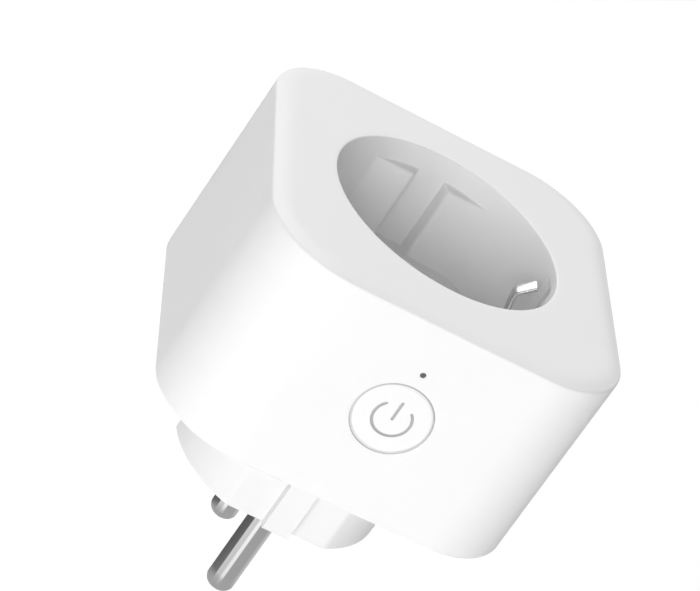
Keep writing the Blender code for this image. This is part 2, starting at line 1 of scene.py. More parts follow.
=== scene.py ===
"""The looks of a smart plug, laid out as a Blender add-on and run as a script.

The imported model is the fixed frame.  Each visible casing or metal part is replaced with a fine
surface worked out on numpy grids, the inner parts keep their solids, and every part gets a
procedural material.  Lengths are metres; MM turns millimetres into metres.  +Z runs from the wall
to the appliance and -Y is the side with the power button.
"""

import json
import math

import bmesh
import bpy
import numpy as np
from bpy.props import FloatProperty, FloatVectorProperty, PointerProperty
from mathutils import Matrix, Vector

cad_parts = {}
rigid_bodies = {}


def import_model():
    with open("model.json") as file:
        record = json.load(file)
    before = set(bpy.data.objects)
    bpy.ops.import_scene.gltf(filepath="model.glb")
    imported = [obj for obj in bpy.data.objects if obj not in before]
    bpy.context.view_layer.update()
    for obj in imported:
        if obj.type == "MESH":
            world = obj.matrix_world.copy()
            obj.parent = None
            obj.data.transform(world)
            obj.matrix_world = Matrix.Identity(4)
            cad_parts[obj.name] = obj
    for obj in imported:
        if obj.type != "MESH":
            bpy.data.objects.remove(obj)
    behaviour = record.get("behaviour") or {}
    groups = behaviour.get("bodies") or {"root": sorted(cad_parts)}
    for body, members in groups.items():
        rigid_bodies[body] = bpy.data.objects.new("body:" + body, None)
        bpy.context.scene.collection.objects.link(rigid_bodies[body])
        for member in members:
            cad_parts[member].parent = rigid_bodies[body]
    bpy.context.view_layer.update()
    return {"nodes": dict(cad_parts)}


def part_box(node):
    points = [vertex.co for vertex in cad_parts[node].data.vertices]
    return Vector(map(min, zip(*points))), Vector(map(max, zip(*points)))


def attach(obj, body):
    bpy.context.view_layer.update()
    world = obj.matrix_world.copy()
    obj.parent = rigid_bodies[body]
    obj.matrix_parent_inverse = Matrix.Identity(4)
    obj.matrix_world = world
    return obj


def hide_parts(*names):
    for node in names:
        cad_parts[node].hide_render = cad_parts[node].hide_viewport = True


bl_info = {
    "name": "Smart Plug Looks",
    "version": (1, 0, 0),
    "blender": (4, 5, 0),
    "location": "View3D > Sidebar > Smart Plug",
    "description": "Builds the fine surfaces, materials and studio of a smart plug",
    "category": "Add Mesh",
}

for leftover in list(bpy.data.objects):
    bpy.data.objects.remove(leftover, do_unlink=True)
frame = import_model()

MM = 0.001
HOUSING = "housing"
BUTTON = "button"
WELD = 2e-6  # points closer than this become one

# Frame dimensions
HOUSING_LOW, HOUSING_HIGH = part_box("front_housing")
BUTTON_LOW, BUTTON_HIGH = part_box("power_button")
PIN_LOW, PIN_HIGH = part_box("live_pin")
LIGHT_LOW, LIGHT_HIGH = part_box("light_pipe")
BACK_Z = HOUSING_LOW.z
FACE_Z = HOUSING_HIGH.z
BACK_HALF = HOUSING_HIGH.x
COVER_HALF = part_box("rear_cover")[1].x
PIN_OFFSET = -(PIN_LOW.y + PIN_HIGH.y) / 2
BUTTON_Z = (BUTTON_LOW.z + BUTTON_HIGH.z) / 2
LIGHT_Z = (LIGHT_LOW.z + LIGHT_HIGH.z) / 2

# Column layout: a quarter turn has FLAT columns, CORNER columns and FLAT columns again
FLAT = 20
CORNER = 24
QUARTER = 2 * FLAT + CORNER
COLUMNS = 4 * QUARTER
BUTTON_SIDE = 3 * QUARTER  # the column in the middle of the -Y side
STRAIGHT = 16.4 * MM  # distance of the corners' centres from the axis, along X and along Y

# What the front housing and the rear cover share
SLOT_HALF = 2.3 * MM
POCKET_EDGE, POCKET_END = 8, 10  # columns where an earth slot's flat ends and where its side ends
COVER_TOP = BACK_Z + 2.0 * MM
SCREW_OFFSET = 21.2 * MM
SCREW_LENGTH = 8.0 * MM


def length(name, description, millimetres):
    """A length, with its default in millimetres."""
    return FloatProperty(name=name, description=description, default=millimetres * MM, unit="LENGTH")


def tint(name, description, *colour):
    """A colour."""
    return FloatVectorProperty(name=name, description=description, default=colour, subtype="COLOR")


def gloss(name, description, default):
    """A roughness between 0 and 1."""
    return FloatProperty(name=name, description=description, default=default, min=0.0, max=1.0)


def power(name, description, default):
    """A light's power in watts."""
    return FloatProperty(name=name, description=description, default=default, min=0.0, unit="POWER")


class PlugShape(bpy.types.PropertyGroup):
    """Sizes of the plug that the frame's boxes don't give."""

    wall: length("Wall", "Thickness of the side walls", 2.0)
    face_wall: length("Face wall", "Thickness of the front face", 2.4)
    draft: length("Draft", "How far each side leans in from back to face", 0.5)
    crown_width: length("Crown width", "Band along the face's edge that falls away", 3.6)
    crown_drop: length("Crown drop", "How far the face falls at its edge", 0.5)
    edge_round: length("Edge rounding", "Radius of the casing's outer edges", 0.45)
    well_radius: length("Well radius", "Radius of the socket well", 19.5)
    well_depth: length("Well depth", "Depth of the socket well", 17.5)
    floor_wall: length("Floor thickness", "Thickness of the well's floor", 2.0)
    rim_round: length("Rim rounding", "Radius of the edge of the well", 0.28)
    rib_face: length("Rib face", "Distance of the guide ribs' faces from the axis", 16.8)
    rib_drop: length("Rib drop", "How far the guide ribs end below the rim", 3.9)
    channel_half: length("Channel", "Half the width of the channel between two ribs", 2.8)
    pin_hole: length("Pin hole", "Radius of the holes for the appliance's pins", 2.8)
    button_hole: length("Button hole", "Radius of the button's hole in the side", 6.3)
    light_hole: length("Light hole", "Radius of the pinhole for the status light", 0.5)
    boss_radius: length("Boss radius", "Radius of the plug boss", 18.4)
    boss_flat: length("Boss flat", "Distance of the boss's flats from the axis", 16.2)
    key_half: length("Key", "Half the width of the key between two flats", 2.3)
    key_reach: length("Key reach", "Distance of the key's face from the axis", 18.0)
    symbol_depth: length("Symbol depth", "Depth of the engraved power symbol", 0.22)


class PlugFinish(bpy.types.PropertyGroup):
    """Colours and gloss of the visible parts."""

    housing_colour: tint("Housing", "Colour of the white casing", 0.79, 0.79, 0.79)
    button_colour: tint("Button", "Colour of the button", 0.80, 0.80, 0.80)
    symbol_colour: tint("Symbol", "Paint in the engraved symbol", 0.42, 0.42, 0.42)
    # painted shade: this grey tints the step round the button, standing in for the shade in the groove
    ring_shade_colour: tint("Ring", "Tint of the step round the button", 0.46, 0.46, 0.46)
    nickel_colour: tint("Nickel", "Colour of the plated pins", 0.80, 0.80, 0.80)
    strip_colour: tint("Strip", "Colour of the earth clips and strips", 0.58, 0.58, 0.58)
    brass_colour: tint("Brass", "Colour of the bare contact strips", 0.75, 0.58, 0.28)
    lens_colour: tint("Lens", "Colour of the unlit status light", 0.11, 0.11, 0.115)
    floor_colour: tint("Floor", "Colour of the studio floor", 0.98, 0.98, 0.98)
    plastic_roughness: gloss("Plastic roughness", "Roughness of the casing", 0.55)
    metal_roughness: gloss("Metal roughness", "Roughness of the plating", 0.1)


class PlugStudio(bpy.types.PropertyGroup):
    """Light and camera."""

    sky: FloatProperty(name="Sky", description="Brightness of the surroundings", default=0.28, min=0.0)
    key: power("Key light", "Power of the light on the button side", 18.5)
    front: power("Front light", "Power of the high light in front", 1.5)
    back: power("Back light", "Power of the high light behind", 37.0)
    low: power("Low light", "Power of the low light behind", 17.0)
    lens: FloatProperty(name="Lens", description="Focal length", default=148.55, min=1.0, unit="CAMERA")
    floor_drop: length("Floor drop", "Gap between the pins' tips and the floor", 400.0)


# Surfaces


class Skin:
    """Grids of points that are welded into one closed surface."""

    def __init__(self):
        self.points = []
        self.faces = []
        self.count = 0

    def grid(self, rows, windows=()):
        """Adds rows of points as quads, with the last column joined to the first.  windows are
        (first row, last row, first column, last column) blocks left without faces."""
        points = np.asarray(rows)
        height, columns = points.shape[:2]
        row, column = np.meshgrid(np.arange(height - 1), np.arange(columns), indexing="ij")
        after = (column + 1) % columns
        corners = [row * columns + column, row * columns + after]
        corners += [(row + 1) * columns + after, (row + 1) * columns + column]
        quads = np.stack(corners, axis=-1)
        keep = np.ones((height - 1, columns), bool)
        for low, high, left, right in windows:
            keep[low:high, left:right] = False
        self.faces.append(quads[keep] + self.count)
        self.points.append(points.reshape(-1, 3))
        self.count += height * columns

    def turn(self, profile, angle, centre, first=0, second=1):
        """Turns a profile of (radius, height) pairs about a centre: each pair is a circle of points at
        the given angles, in the plane of two axes and at its height on the third."""
        rows = []
        for radius, height in profile:
            middle = np.array(centre, float)
            middle[3 - first - second] = height
            rows.append(circle_at(angle, middle, radius, first, second))
        self.grid(rows)

    def piece(self, name, smooth_angle=35.0):
        """Welds the grids, turns the faces outward and makes the object."""
        points = np.concatenate(self.points)
        faces = np.concatenate(self.faces)
        mesh = bpy.data.meshes.new(name)
        mesh.vertices.add(len(points))
        mesh.vertices.foreach_set("co", points.astype(np.float32).ravel())
        mesh.loops.add(faces.size)
        mesh.loops.foreach_set("vertex_index", faces.astype(np.int32).ravel())
        mesh.polygons.add(len(faces))
        mesh.polygons.foreach_set("loop_start", np.arange(0, faces.size, 4, dtype=np.int32))
        mesh.update(calc_edges=True)
        shape = bmesh.new()
        shape.from_mesh(mesh)
        bmesh.ops.remove_doubles(shape, verts=shape.verts, dist=WELD)
        bmesh.ops.recalc_face_normals(shape, faces=shape.faces)
        shape.to_mesh(mesh)
        shape.free()
        mesh.shade_smooth()
        mesh.set_sharp_from_angle(angle=math.radians(smooth_angle))
        made = bpy.data.objects.new(name, mesh)
        bpy.context.scene.collection.objects.link(made)
        return made


def full_turn(columns):
    """Angles of equally spaced columns once round."""
    return np.linspace(0, math.tau, columns, endpoint=False)


def four_fold(quarter):
    """Mirrors the points of a quarter turn, from the +X axis to the +Y axis, into a full loop."""
    flip_x, flip_y = np.array([-1.0, 1.0]), np.array([1.0, -1.0])
    forward, backward = quarter[:-1], quarter[:0:-1]
    return np.concatenate([forward, backward * flip_x, forward * flip_x * flip_y, backward * flip_y])


def square_loop(radius):
    """A square with round corners: the corner centres stand STRAIGHT from the axes, radius is the
    corners' radius and so the flats stand STRAIGHT + radius from the axis."""
    side = STRAIGHT + radius
    rise = np.linspace(0, STRAIGHT, FLAT + 1)[:-1]
    turn = np.linspace(0, math.pi / 2, CORNER + 1)
    first = np.stack([np.full_like(rise, side), rise], axis=-1)
    corner = STRAIGHT + radius * np.stack([np.cos(turn), np.sin(turn)], axis=-1)
    last = first[::-1, ::-1]
    return four_fold(np.concatenate([first, corner, last]))


def polar_loop(angles, radii):
    """A loop whose quarter is given by angles and radii."""
    return four_fold(np.stack([radii * np.cos(angles), radii * np.sin(angles)], axis=-1))


def at_height(loop, height):
    """Lifts a flat loop of (x, y) points to a height, which may differ from column to column."""
    heights = np.broadcast_to(np.asarray(height, float), len(loop))
    return np.column_stack([loop, heights])


def inset(loop, distance):
    """Moves each point of a loop towards the axis by a distance."""
    reach = np.linalg.norm(loop, axis=1, keepdims=True)
    distance = np.broadcast_to(np.asarray(distance, float), len(loop))[:, None]
    return loop * (1 - distance / reach)


def between(first, last, steps):
    """Rows from one loop of points to another, in equal steps, both included."""
    share = np.linspace(0, 1, steps + 1)[:, None, None]
    return first[None] * (1 - share) + last[None] * share


def edge_turn(steps=4):
    """Shares (along, down) of a quarter circle: from (0, 0) to (1, 1), level at first."""
    angle = np.linspace(0, math.pi / 2, steps + 1)
    return list(zip(np.sin(angle), 1 - np.cos(angle)))


def window_loop(points, block):
    """The points round a block of a grid, once round."""
    low, high, left, right = block
    bottom = points[low, left:right]
    end = points[low:high, right]
    top = points[high, right:left:-1]
    start = points[high:low:-1, left]
    return np.concatenate([bottom, end, top, start])


def circle_at(angle, centre, radius, first, second):
    """Points of a circle at given angles about a centre, in the plane of two axes."""
    circle = np.tile(np.asarray(centre, float), (len(angle), 1))
    circle[:, first] += radius * np.cos(angle)
    circle[:, second] += radius * np.sin(angle)
    return circle


def half_loop(loop, side, bridge_steps=24):
    """The half of a four-fold loop on one side of the X axis, closed along that axis."""
    half = loop[: COLUMNS // 2 + 1].copy()
    bridge = between(half[-1][None], half[0][None], bridge_steps)[1:-1, 0]
    closed = np.concatenate([half, bridge])
    closed[:, 1] *= side
    return closed


def pin_angles(loop, side):
    """Angles of a half loop's points about the pin's axis on that side."""
    half = half_loop(loop, side)
    return np.arctan2(half[:, 1] - side * PIN_OFFSET, half[:, 0])


def holed_face(skin, loop, radius, angles, steps=12):
    """Fills a flat loop that has a round hole at each pin's axis, as two grids that meet on the X axis."""
    height = loop[0, 2]
    for side in (-1, 1):
        half = half_loop(loop, side)
        hole = circle_at(angles[side], (0, side * PIN_OFFSET, height), radius, 0, 1)
        skin.grid(between(half, hole, steps))


def pin_bores(skin, angles, profile):
    """Turns a profile of (radius, height) pairs about both pins' axes."""
    for side in (-1, 1):
        skin.turn(profile, angles[side], (0, side * PIN_OFFSET, 0))


def slot_mask():
    """True for the columns of a loop that lie in an earth slot."""
    quarter = np.arange(QUARTER + 1) <= POCKET_EDGE + 1
    return four_fold(np.column_stack([quarter, quarter]).astype(float))[:, 0] != 0


def slot_loop(ribbed, inner_x):
    """An outline whose earth slots reach in to inner_x."""
    quarter = ribbed[: QUARTER + 1].copy()
    quarter[: POCKET_EDGE + 1, 0] = inner_x
    quarter[: POCKET_EDGE + 1, 1] = np.linspace(0, SLOT_HALF, POCKET_EDGE + 1)
    middle = (inner_x + quarter[POCKET_END, 0]) / 2
    quarter[POCKET_EDGE + 1] = (middle, SLOT_HALF)
    return four_fold(quarter)


# Front housing

RIB_START, RIB_BEND, RIB_SIDE, CHANNEL = 44, 51, 56, 60  # columns where a rib's parts start
RIB_LEAN = 0.8 * MM
RIB_ROUND = 0.7 * MM
POCKET_X = 20.6 * MM
POCKET_DROP = 2.2 * MM
SLOT_INNER_X = 16.6 * MM
TUBE_EXTRA = 1.9 * MM  # thickness of the well's wall
POST_RADIUS = 3.2 * MM
PATCH = 10  # columns of the button's window on each side of its middle
BUTTON_EDGE = 0.12 * MM
LIGHT_EDGE = 0.05 * MM
CROWN_POWER = 2.5  # the face falls with this power of the way to its edge
CEILING_GAP = 0.5 * MM  # the cavity's walls have no row closer to the ceiling
POST_GAP = 0.3 * MM  # between a screw's end and its post
POST_SINK = 0.6 * MM  # how far a post runs into the ceiling


def well_layout(shape):
    """Angles of a quarter of the well's columns, and its radii: round, with pockets, with ribs too.  A rib
    is a chord of the circle, then a parabola round its mouth corner, then a side that leans inward."""
    radius, rib, channel = shape.well_radius, shape.rib_face, shape.channel_half
    start = np.array([math.sqrt(radius**2 - rib**2), rib])
    mouth = np.array([channel + RIB_LEAN / 2, rib])
    root_x = channel - RIB_LEAN / 2
    root = np.array([root_x, math.sqrt(radius**2 - root_x**2)])
    bend_in = mouth + (RIB_ROUND, 0.0)
    bend_out = mouth + (root - mouth) / np.linalg.norm(root - mouth) * RIB_ROUND
    chord = between(start[None], bend_in[None], RIB_BEND - RIB_START)[:-1, 0]
    turn = np.linspace(0, 1, RIB_SIDE - RIB_BEND + 1)[:-1, None]
    bend = (1 - turn) ** 2 * bend_in + 2 * turn * (1 - turn) * mouth + turn**2 * bend_out
    side = between(bend_out[None], root[None], CHANNEL - RIB_SIDE)[:, 0]
    outline = np.concatenate([chord, bend, side])
    outline_angle = np.arctan2(outline[:, 1], outline[:, 0])
    pocket_angle, end_angle = math.atan2(SLOT_HALF, POCKET_X), math.asin(SLOT_HALF / radius)
    marks = [0, POCKET_EDGE, POCKET_END, RIB_START]
    before = np.interp(np.arange(RIB_START), marks, [0, pocket_angle, end_angle, outline_angle[0]])
    after = np.linspace(outline_angle[-1], math.pi / 2, QUARTER - CHANNEL + 1)[1:]
    angle = np.concatenate([before, outline_angle, after])
    round_wall = np.full(QUARTER + 1, radius)
    pocket = round_wall.copy()
    pocket[: POCKET_EDGE + 1] = POCKET_X / np.cos(angle[: POCKET_EDGE + 1])
    pocket_side = slice(POCKET_EDGE + 1, POCKET_END)
    pocket[pocket_side] = SLOT_HALF / np.sin(angle[pocket_side])
    ribs = pocket.copy()
    ribs[RIB_START : CHANNEL + 1] = np.linalg.norm(outline, axis=1)
    return angle, round_wall, pocket, ribs


def step_rows(upper, lower, height):
    """Rows that pass a ledge at a height, from the loop above it to the loop below it.  A fillet leads
    into the ledge, and its rounded edge takes the last 0.4 of the ledge and 0.5 mm of height."""
    shares = [(0.0, 0.30), (0.02, 0.15), (0.08, 0.05), (0.18, 0.0), (0.6, 0.0)]
    shares += [(0.6 + 0.4 * along, -0.5 * down) for along, down in edge_turn(5)[1:]]
    return [at_height(upper * (1 - share) + lower * share, height + rise * MM) for share, rise in shares]


def side_radius(shape, height, wall=0.0):
    """Corner radius of the side walls at a height: it shrinks by the draft from the back to the face."""
    back_radius = BACK_HALF - STRAIGHT
    return back_radius - wall - shape.draft * (height - BACK_Z) / (FACE_Z - BACK_Z)


def side_row(shape, height, wall=0.0):
    """The side walls' loop at a height, moved inward by a wall."""
    return at_height(square_loop(side_radius(shape, height, wall)), height)


def side_levels(shape):
    """Heights of the side wall's rows, with rows on the edges of both windows, and the windows."""
    pitch = STRAIGHT / FLAT
    light_low, light_high = LIGHT_Z - pitch, LIGHT_Z + pitch
    button_low = 2 * BUTTON_Z - light_low
    start = BACK_Z + shape.edge_round
    end = FACE_Z - shape.crown_drop - shape.edge_round
    under = np.linspace(start, button_low, 13)
    button = np.linspace(button_low, light_low, 2 * PATCH + 1)[1:]
    light = np.array([LIGHT_Z, light_high])
    over = np.linspace(light_high, end, 11)[1:]
    first = len(under) - 1
    windows = [
        (first, first + 2 * PATCH, BUTTON_SIDE - PATCH, BUTTON_SIDE + PATCH),
        (first + 2 * PATCH, first + 2 * PATCH + 2, BUTTON_SIDE - 1, BUTTON_SIDE + 1),
    ]
    return np.concatenate([under, button, light, over]), windows


def side_hole(skin, outer, inner, block, height, radius, edge):
    """A round hole through the side wall: a ring on each face, a rounded outer edge and the bore."""
    loops = [window_loop(points, block) for points in (outer, inner)]
    angle = np.arctan2(loops[0][:, 2] - height, loops[0][:, 0])

    def circle(loop, r, depth):
        """The circle in a loop's own leaning plane, moved inward by a depth."""
        flat = circle_at(angle, (0.0, 0.0, height), r, 0, 2)
        order = np.argsort(loop[:, 2])
        flat[:, 1] = np.interp(flat[:, 2], loop[order, 2], loop[order, 1]) + depth
        return flat

    skin.grid(between(loops[0], circle(loops[0], radius + edge, 0.0), 5))
    bore = [circle(loops[0], radius + edge * (1 - along), edge * down) for along, down in edge_turn()]
    bore.append(circle(loops[1], radius, 0.0))
    skin.grid(bore)
    skin.grid(between(loops[1], circle(loops[1], radius, 0.0), 5))


def front_housing_surface(shape):
    """The front shell as one closed surface.  A row is a loop of COLUMNS points round the axis.  Rows run
    from the back rim up the leaning sides, over the crowned face, down the well's wall to its floor,
    and inside from the cavity's walls over its ceiling and down the well's outer side.  Closed posts
    stand in it for the screws."""
    skin = Skin()
    edge = shape.edge_round
    levels, windows = side_levels(shape)
    outer = np.stack([side_row(shape, z) for z in levels])
    inner = np.stack([side_row(shape, z, shape.wall) for z in levels])
    skin.grid(outer, windows)
    ceiling_z = FACE_Z - shape.face_wall
    below_ceiling = levels < ceiling_z - CEILING_GAP
    skin.grid(inner[below_ceiling], windows)
    side_hole(skin, outer, inner, windows[0], BUTTON_Z, shape.button_hole, BUTTON_EDGE)
    side_hole(skin, outer, inner, windows[1], LIGHT_Z, shape.light_hole, LIGHT_EDGE)

    back_rim = [outer[0]]
    for along, down in edge_turn():
        radius = side_radius(shape, BACK_Z) - edge * down
        back_rim.append(at_height(square_loop(radius), BACK_Z + edge * (1 - along)))
    back_rim += [side_row(shape, BACK_Z, shape.wall), inner[0]]
    skin.grid(back_rim)

    top_radius = side_radius(shape, levels[-1])
    face = [outer[-1]]
    crown_low = FACE_Z - shape.crown_drop
    for along, down in edge_turn():
        face.append(at_height(square_loop(top_radius - edge * down), crown_low - edge * (1 - along)))
    for share in np.linspace(0, 1, 9)[1:]:
        radius = top_radius - edge - (shape.crown_width - edge) * share
        face.append(at_height(square_loop(radius), FACE_Z - shape.crown_drop * (1 - share) ** CROWN_POWER))
    angle, round_wall, pocket, ribs = well_layout(shape)
    rim = shape.rim_round
    rim_loop = at_height(polar_loop(angle, round_wall + rim), FACE_Z)
    skin.grid(face)
    skin.grid(between(face[-1], rim_loop, 10))

    circle, pocketed, ribbed = (polar_loop(angle, radii) for radii in (round_wall, pocket, ribs))
    floor_z = FACE_Z - shape.well_depth
    rib_top = FACE_Z - shape.rib_drop
    wall = []
    for along, down in edge_turn(6):
        wall.append(at_height(polar_loop(angle, round_wall + rim * (1 - along)), FACE_Z - rim * down))
    wall += step_rows(circle, pocketed, FACE_Z - POCKET_DROP)
    wall += step_rows(pocketed, ribbed, rib_top)
    wall += [at_height(ribbed, z) for z in np.linspace(rib_top - 0.8 * MM, floor_z + 0.3 * MM, 14)]
    slotted = slot_loop(ribbed, SLOT_INNER_X)
    in_slot = slot_mask()
    trench = floor_z - shape.floor_wall + 0.3 * MM
    for loop, deep, fillet, rise in (
        (ribbed, trench, 0.04, 0.13),
        (slotted, trench, 0.13, 0.04),
        (slotted, floor_z, 0.30, 0.0),
    ):
        moved = inset(loop, np.where(in_slot, 0.0, fillet * MM))
        wall.append(at_height(moved, np.where(in_slot, deep, floor_z + rise * MM)))
    skin.grid(wall)

    angles = {side: pin_angles(wall[-1], side) for side in (-1, 1)}
    hole, chamfer = shape.pin_hole, 0.3 * MM
    under_z = floor_z - shape.floor_wall
    holed_face(skin, wall[-1], hole + chamfer, angles)
    bore = [(hole + chamfer * (1 - along), floor_z - chamfer * down) for along, down in edge_turn()]
    pin_bores(skin, angles, bore + [(hole, under_z)])

    tube = polar_loop(angle, round_wall + TUBE_EXTRA)
    holed_face(skin, at_height(tube, under_z), hole, angles)
    skin.grid(between(at_height(tube, under_z), at_height(tube, ceiling_z), 8))
    ceiling = side_row(shape, ceiling_z, shape.wall)
    skin.grid(between(at_height(tube, ceiling_z), ceiling, 6))
    skin.grid([ceiling, inner[below_ceiling][-1]])

    low, high = COVER_TOP + POST_GAP + SCREW_LENGTH, ceiling_z + POST_SINK
    post = [(0, low), (POST_RADIUS, low), (POST_RADIUS, high), (0, high)]
    for x in (-SCREW_OFFSET, SCREW_OFFSET):
        for y in (-SCREW_OFFSET, SCREW_OFFSET):
            skin.turn(post, full_turn(24), (x, y, 0))
    return skin.piece("housing_shell")


# Rear cover

COUNTERBORE = 3.2 * MM
COUNTERBORE_DEPTH = 1.0 * MM
SCREW_HOLE = 1.5 * MM
GROOVE_X = 16.9 * MM
GROOVE_OUT_X = 19.0 * MM
GROOVE_TOP = 1.4 * MM  # how far the groove runs into the plate
BOSS_FLOOR = 4.0 * MM
HOLLOW_RADIUS = 14.6 * MM
PIN_BORE = 2.55 * MM
FLAT_START, KEY_SIDE, KEY_TOP = 40, 56, 58  # columns where a flat, a key's side and its top start
SCREW_WINDOW = 7  # columns of a screw's window on each side of the corner's middle


def boss_layout(shape):
    """The boss's outline, with groove, round side, flat and key in each quarter, and the same outline
    with shallow grooves, where the boss meets the plate."""
    radius, flat, key, reach = shape.boss_radius, shape.boss_flat, shape.key_half, shape.key_reach
    marks = [POCKET_END, FLAT_START, KEY_SIDE, KEY_TOP, QUARTER]
    angles = [
        math.asin(SLOT_HALF / radius),
        math.asin(flat / radius),
        math.atan2(flat, key),
        math.atan2(reach, key),
        math.pi / 2,
    ]
    column = np.arange(QUARTER + 1)
    angle = np.interp(column, marks, angles)
    radii = np.full(QUARTER + 1, radius)
    on_flat = slice(FLAT_START, KEY_SIDE + 1)
    radii[on_flat] = flat / np.sin(angle[on_flat])
    radii[KEY_SIDE + 1 : KEY_TOP] = key / np.cos(angle[KEY_SIDE + 1 : KEY_TOP])
    radii[KEY_TOP:] = reach / np.sin(angle[KEY_TOP:])
    round_side = np.stack([radii * np.cos(angle), radii * np.sin(angle)], axis=-1)
    return slot_loop(round_side, GROOVE_X), slot_loop(round_side, GROOVE_OUT_X)


def screw_windows(low, high):
    """The blocks of a plate grid that the four screws' holes take, one on each corner's middle, between
    two rows."""
    columns = [FLAT + CORNER // 2 + corner * QUARTER for corner in range(4)]
    return [(low, high, column - SCREW_WINDOW, column + SCREW_WINDOW) for column in columns]


def rear_cover_surface(shape):
    """The back plate with its boss as one closed surface, with rows of COLUMNS points: from the plate's
    edge over its back to the boss, down the boss to its end, and inside up the hollow to the top."""
    skin = Skin()
    boss, root = boss_layout(shape)
    in_slot = slot_mask()
    plate_radius = COVER_HALF - STRAIGHT
    edge = 0.25 * MM
    rim = [at_height(square_loop(plate_radius), COVER_TOP)]
    for along, down in edge_turn():
        rim.append(at_height(square_loop(plate_radius - edge * down), BACK_Z + edge * (1 - along)))
    skin.grid(rim)

    fillet = 0.5 * MM
    start = at_height(inset(root, np.where(in_slot, 0.0, -fillet)), BACK_Z)
    plate = between(rim[-1], start, 20)
    windows = screw_windows(1, 12)
    skin.grid(plate, windows)
    even = np.linspace(0, math.pi / 2, QUARTER + 1)
    hollow = at_height(polar_loop(even, np.full(QUARTER + 1, HOLLOW_RADIUS)), COVER_TOP)
    top = between(rim[0], hollow, 20)
    skin.grid(top, windows)
    for block in windows:
        screw_hole(skin, plate, top, block)

    side = []
    for loop, deep, out, drop in (
        (root, 0.0, fillet, 0.0),
        (root, GROOVE_TOP, 0.3 * fillet, 0.3 * fillet),
        (boss, GROOVE_TOP, 0.0, fillet),
    ):
        moved = inset(loop, np.where(in_slot, 0.0, -out))
        side.append(at_height(moved, np.where(in_slot, BACK_Z + deep, BACK_Z - drop)))
    tip = 0.5 * MM
    side += [at_height(boss, z) for z in np.linspace(BACK_Z - 2 * fillet, tip, 16)]
    for along, down in edge_turn()[1:]:
        side.append(at_height(inset(boss, tip * down), tip * (1 - along)))
    skin.grid(side)

    angles = {which: pin_angles(side[-1], which) for which in (-1, 1)}
    lip = 0.2 * MM
    holed_face(skin, side[-1], PIN_BORE + lip, angles)
    profile = [(PIN_BORE + lip * (1 - along), lip * down) for along, down in edge_turn()]
    pin_bores(skin, angles, profile + [(PIN_BORE, BOSS_FLOOR)])
    floor = at_height(hollow[:, :2], BOSS_FLOOR)
    holed_face(skin, floor, PIN_BORE, angles)
    skin.grid(between(floor, hollow, 8))
    return skin.piece("rear_cover_shell")


def screw_hole(skin, plate, top, block):
    """A counterbored hole between the plate's back and its top."""
    loops = [window_loop(points, block) for points in (plate, top)]
    middle = loops[0].mean(axis=0)
    centre = np.array([math.copysign(SCREW_OFFSET, middle[0]), math.copysign(SCREW_OFFSET, middle[1])])
    angle = np.arctan2(loops[0][:, 1] - centre[1], loops[0][:, 0] - centre[0])
    lip = 0.15 * MM
    seat = BACK_Z + COUNTERBORE_DEPTH
    profile = [(COUNTERBORE + lip * (1 - along), BACK_Z + lip * down) for along, down in edge_turn(3)]
    profile += [(COUNTERBORE, seat), (SCREW_HOLE, seat), (SCREW_HOLE, COVER_TOP)]
    rows = [circle_at(angle, (*centre, z), r, 0, 1) for r, z in profile]
    skin.grid(between(loops[0], rows[0], 4))
    skin.grid(rows)
    skin.grid(between(loops[1], rows[-1], 6))


# Button

CAP_RADIUS = 6.0 * MM
COLLAR_RADIUS = 6.26 * MM
COLLAR_DEPTH = 0.2 * MM
CAP_FLANGE = 7.2 * MM
FLANGE_THICK = 0.8 * MM
SYMBOL_INNER = 2.78 * MM
SYMBOL_OUTER = 3.2 * MM
SYMBOL_GAP = math.radians(46)
BAR_HALF = 0.215 * MM
BAR_START = 0.05 * MM
BAR_END = 3.35 * MM
GROOVE_SLOPE = 0.08 * MM
CAP_COLUMNS = 360


def soft_step(value, low, high):
    """0 below low, 1 above high, and a smooth cubic between."""
    share = np.clip((value - low) / (high - low), 0, 1)
    return share * share * (3 - 2 * share)


def within(value, limit):
    """1 below a limit, falling to 0 over GROOVE_SLOPE about it."""
    return 1 - soft_step(value, limit - GROOVE_SLOPE / 2, limit + GROOVE_SLOPE / 2)


def band(value, low, high):
    """1 between low and high, falling to 0 over GROOVE_SLOPE on both sides."""
    return (1 - within(value, low)) * within(value, high)


def symbol_mask(across, up):
    """Depth share of the power symbol at points (across, up) from the cap's middle: an arc that is open
    at the top with round ends, and an upright bar from the middle through the opening."""
    distance = np.hypot(across, up)
    angle = np.abs(np.arctan2(across, up))
    opening = soft_step(distance * (angle - SYMBOL_GAP), 0, GROOVE_SLOPE)
    arc = band(distance, SYMBOL_INNER, SYMBOL_OUTER) * opening
    middle = (SYMBOL_INNER + SYMBOL_OUTER) / 2
    half = (SYMBOL_OUTER - SYMBOL_INNER) / 2
    tip_across, tip_up = middle * math.sin(SYMBOL_GAP), middle * math.cos(SYMBOL_GAP)
    tip = within(np.hypot(np.abs(across) - tip_across, up - tip_up), half)
    along = np.clip(up, BAR_START, BAR_END - BAR_HALF)
    bar = within(np.hypot(across, up - along), BAR_HALF)
    return np.maximum(np.maximum(arc, tip), bar)


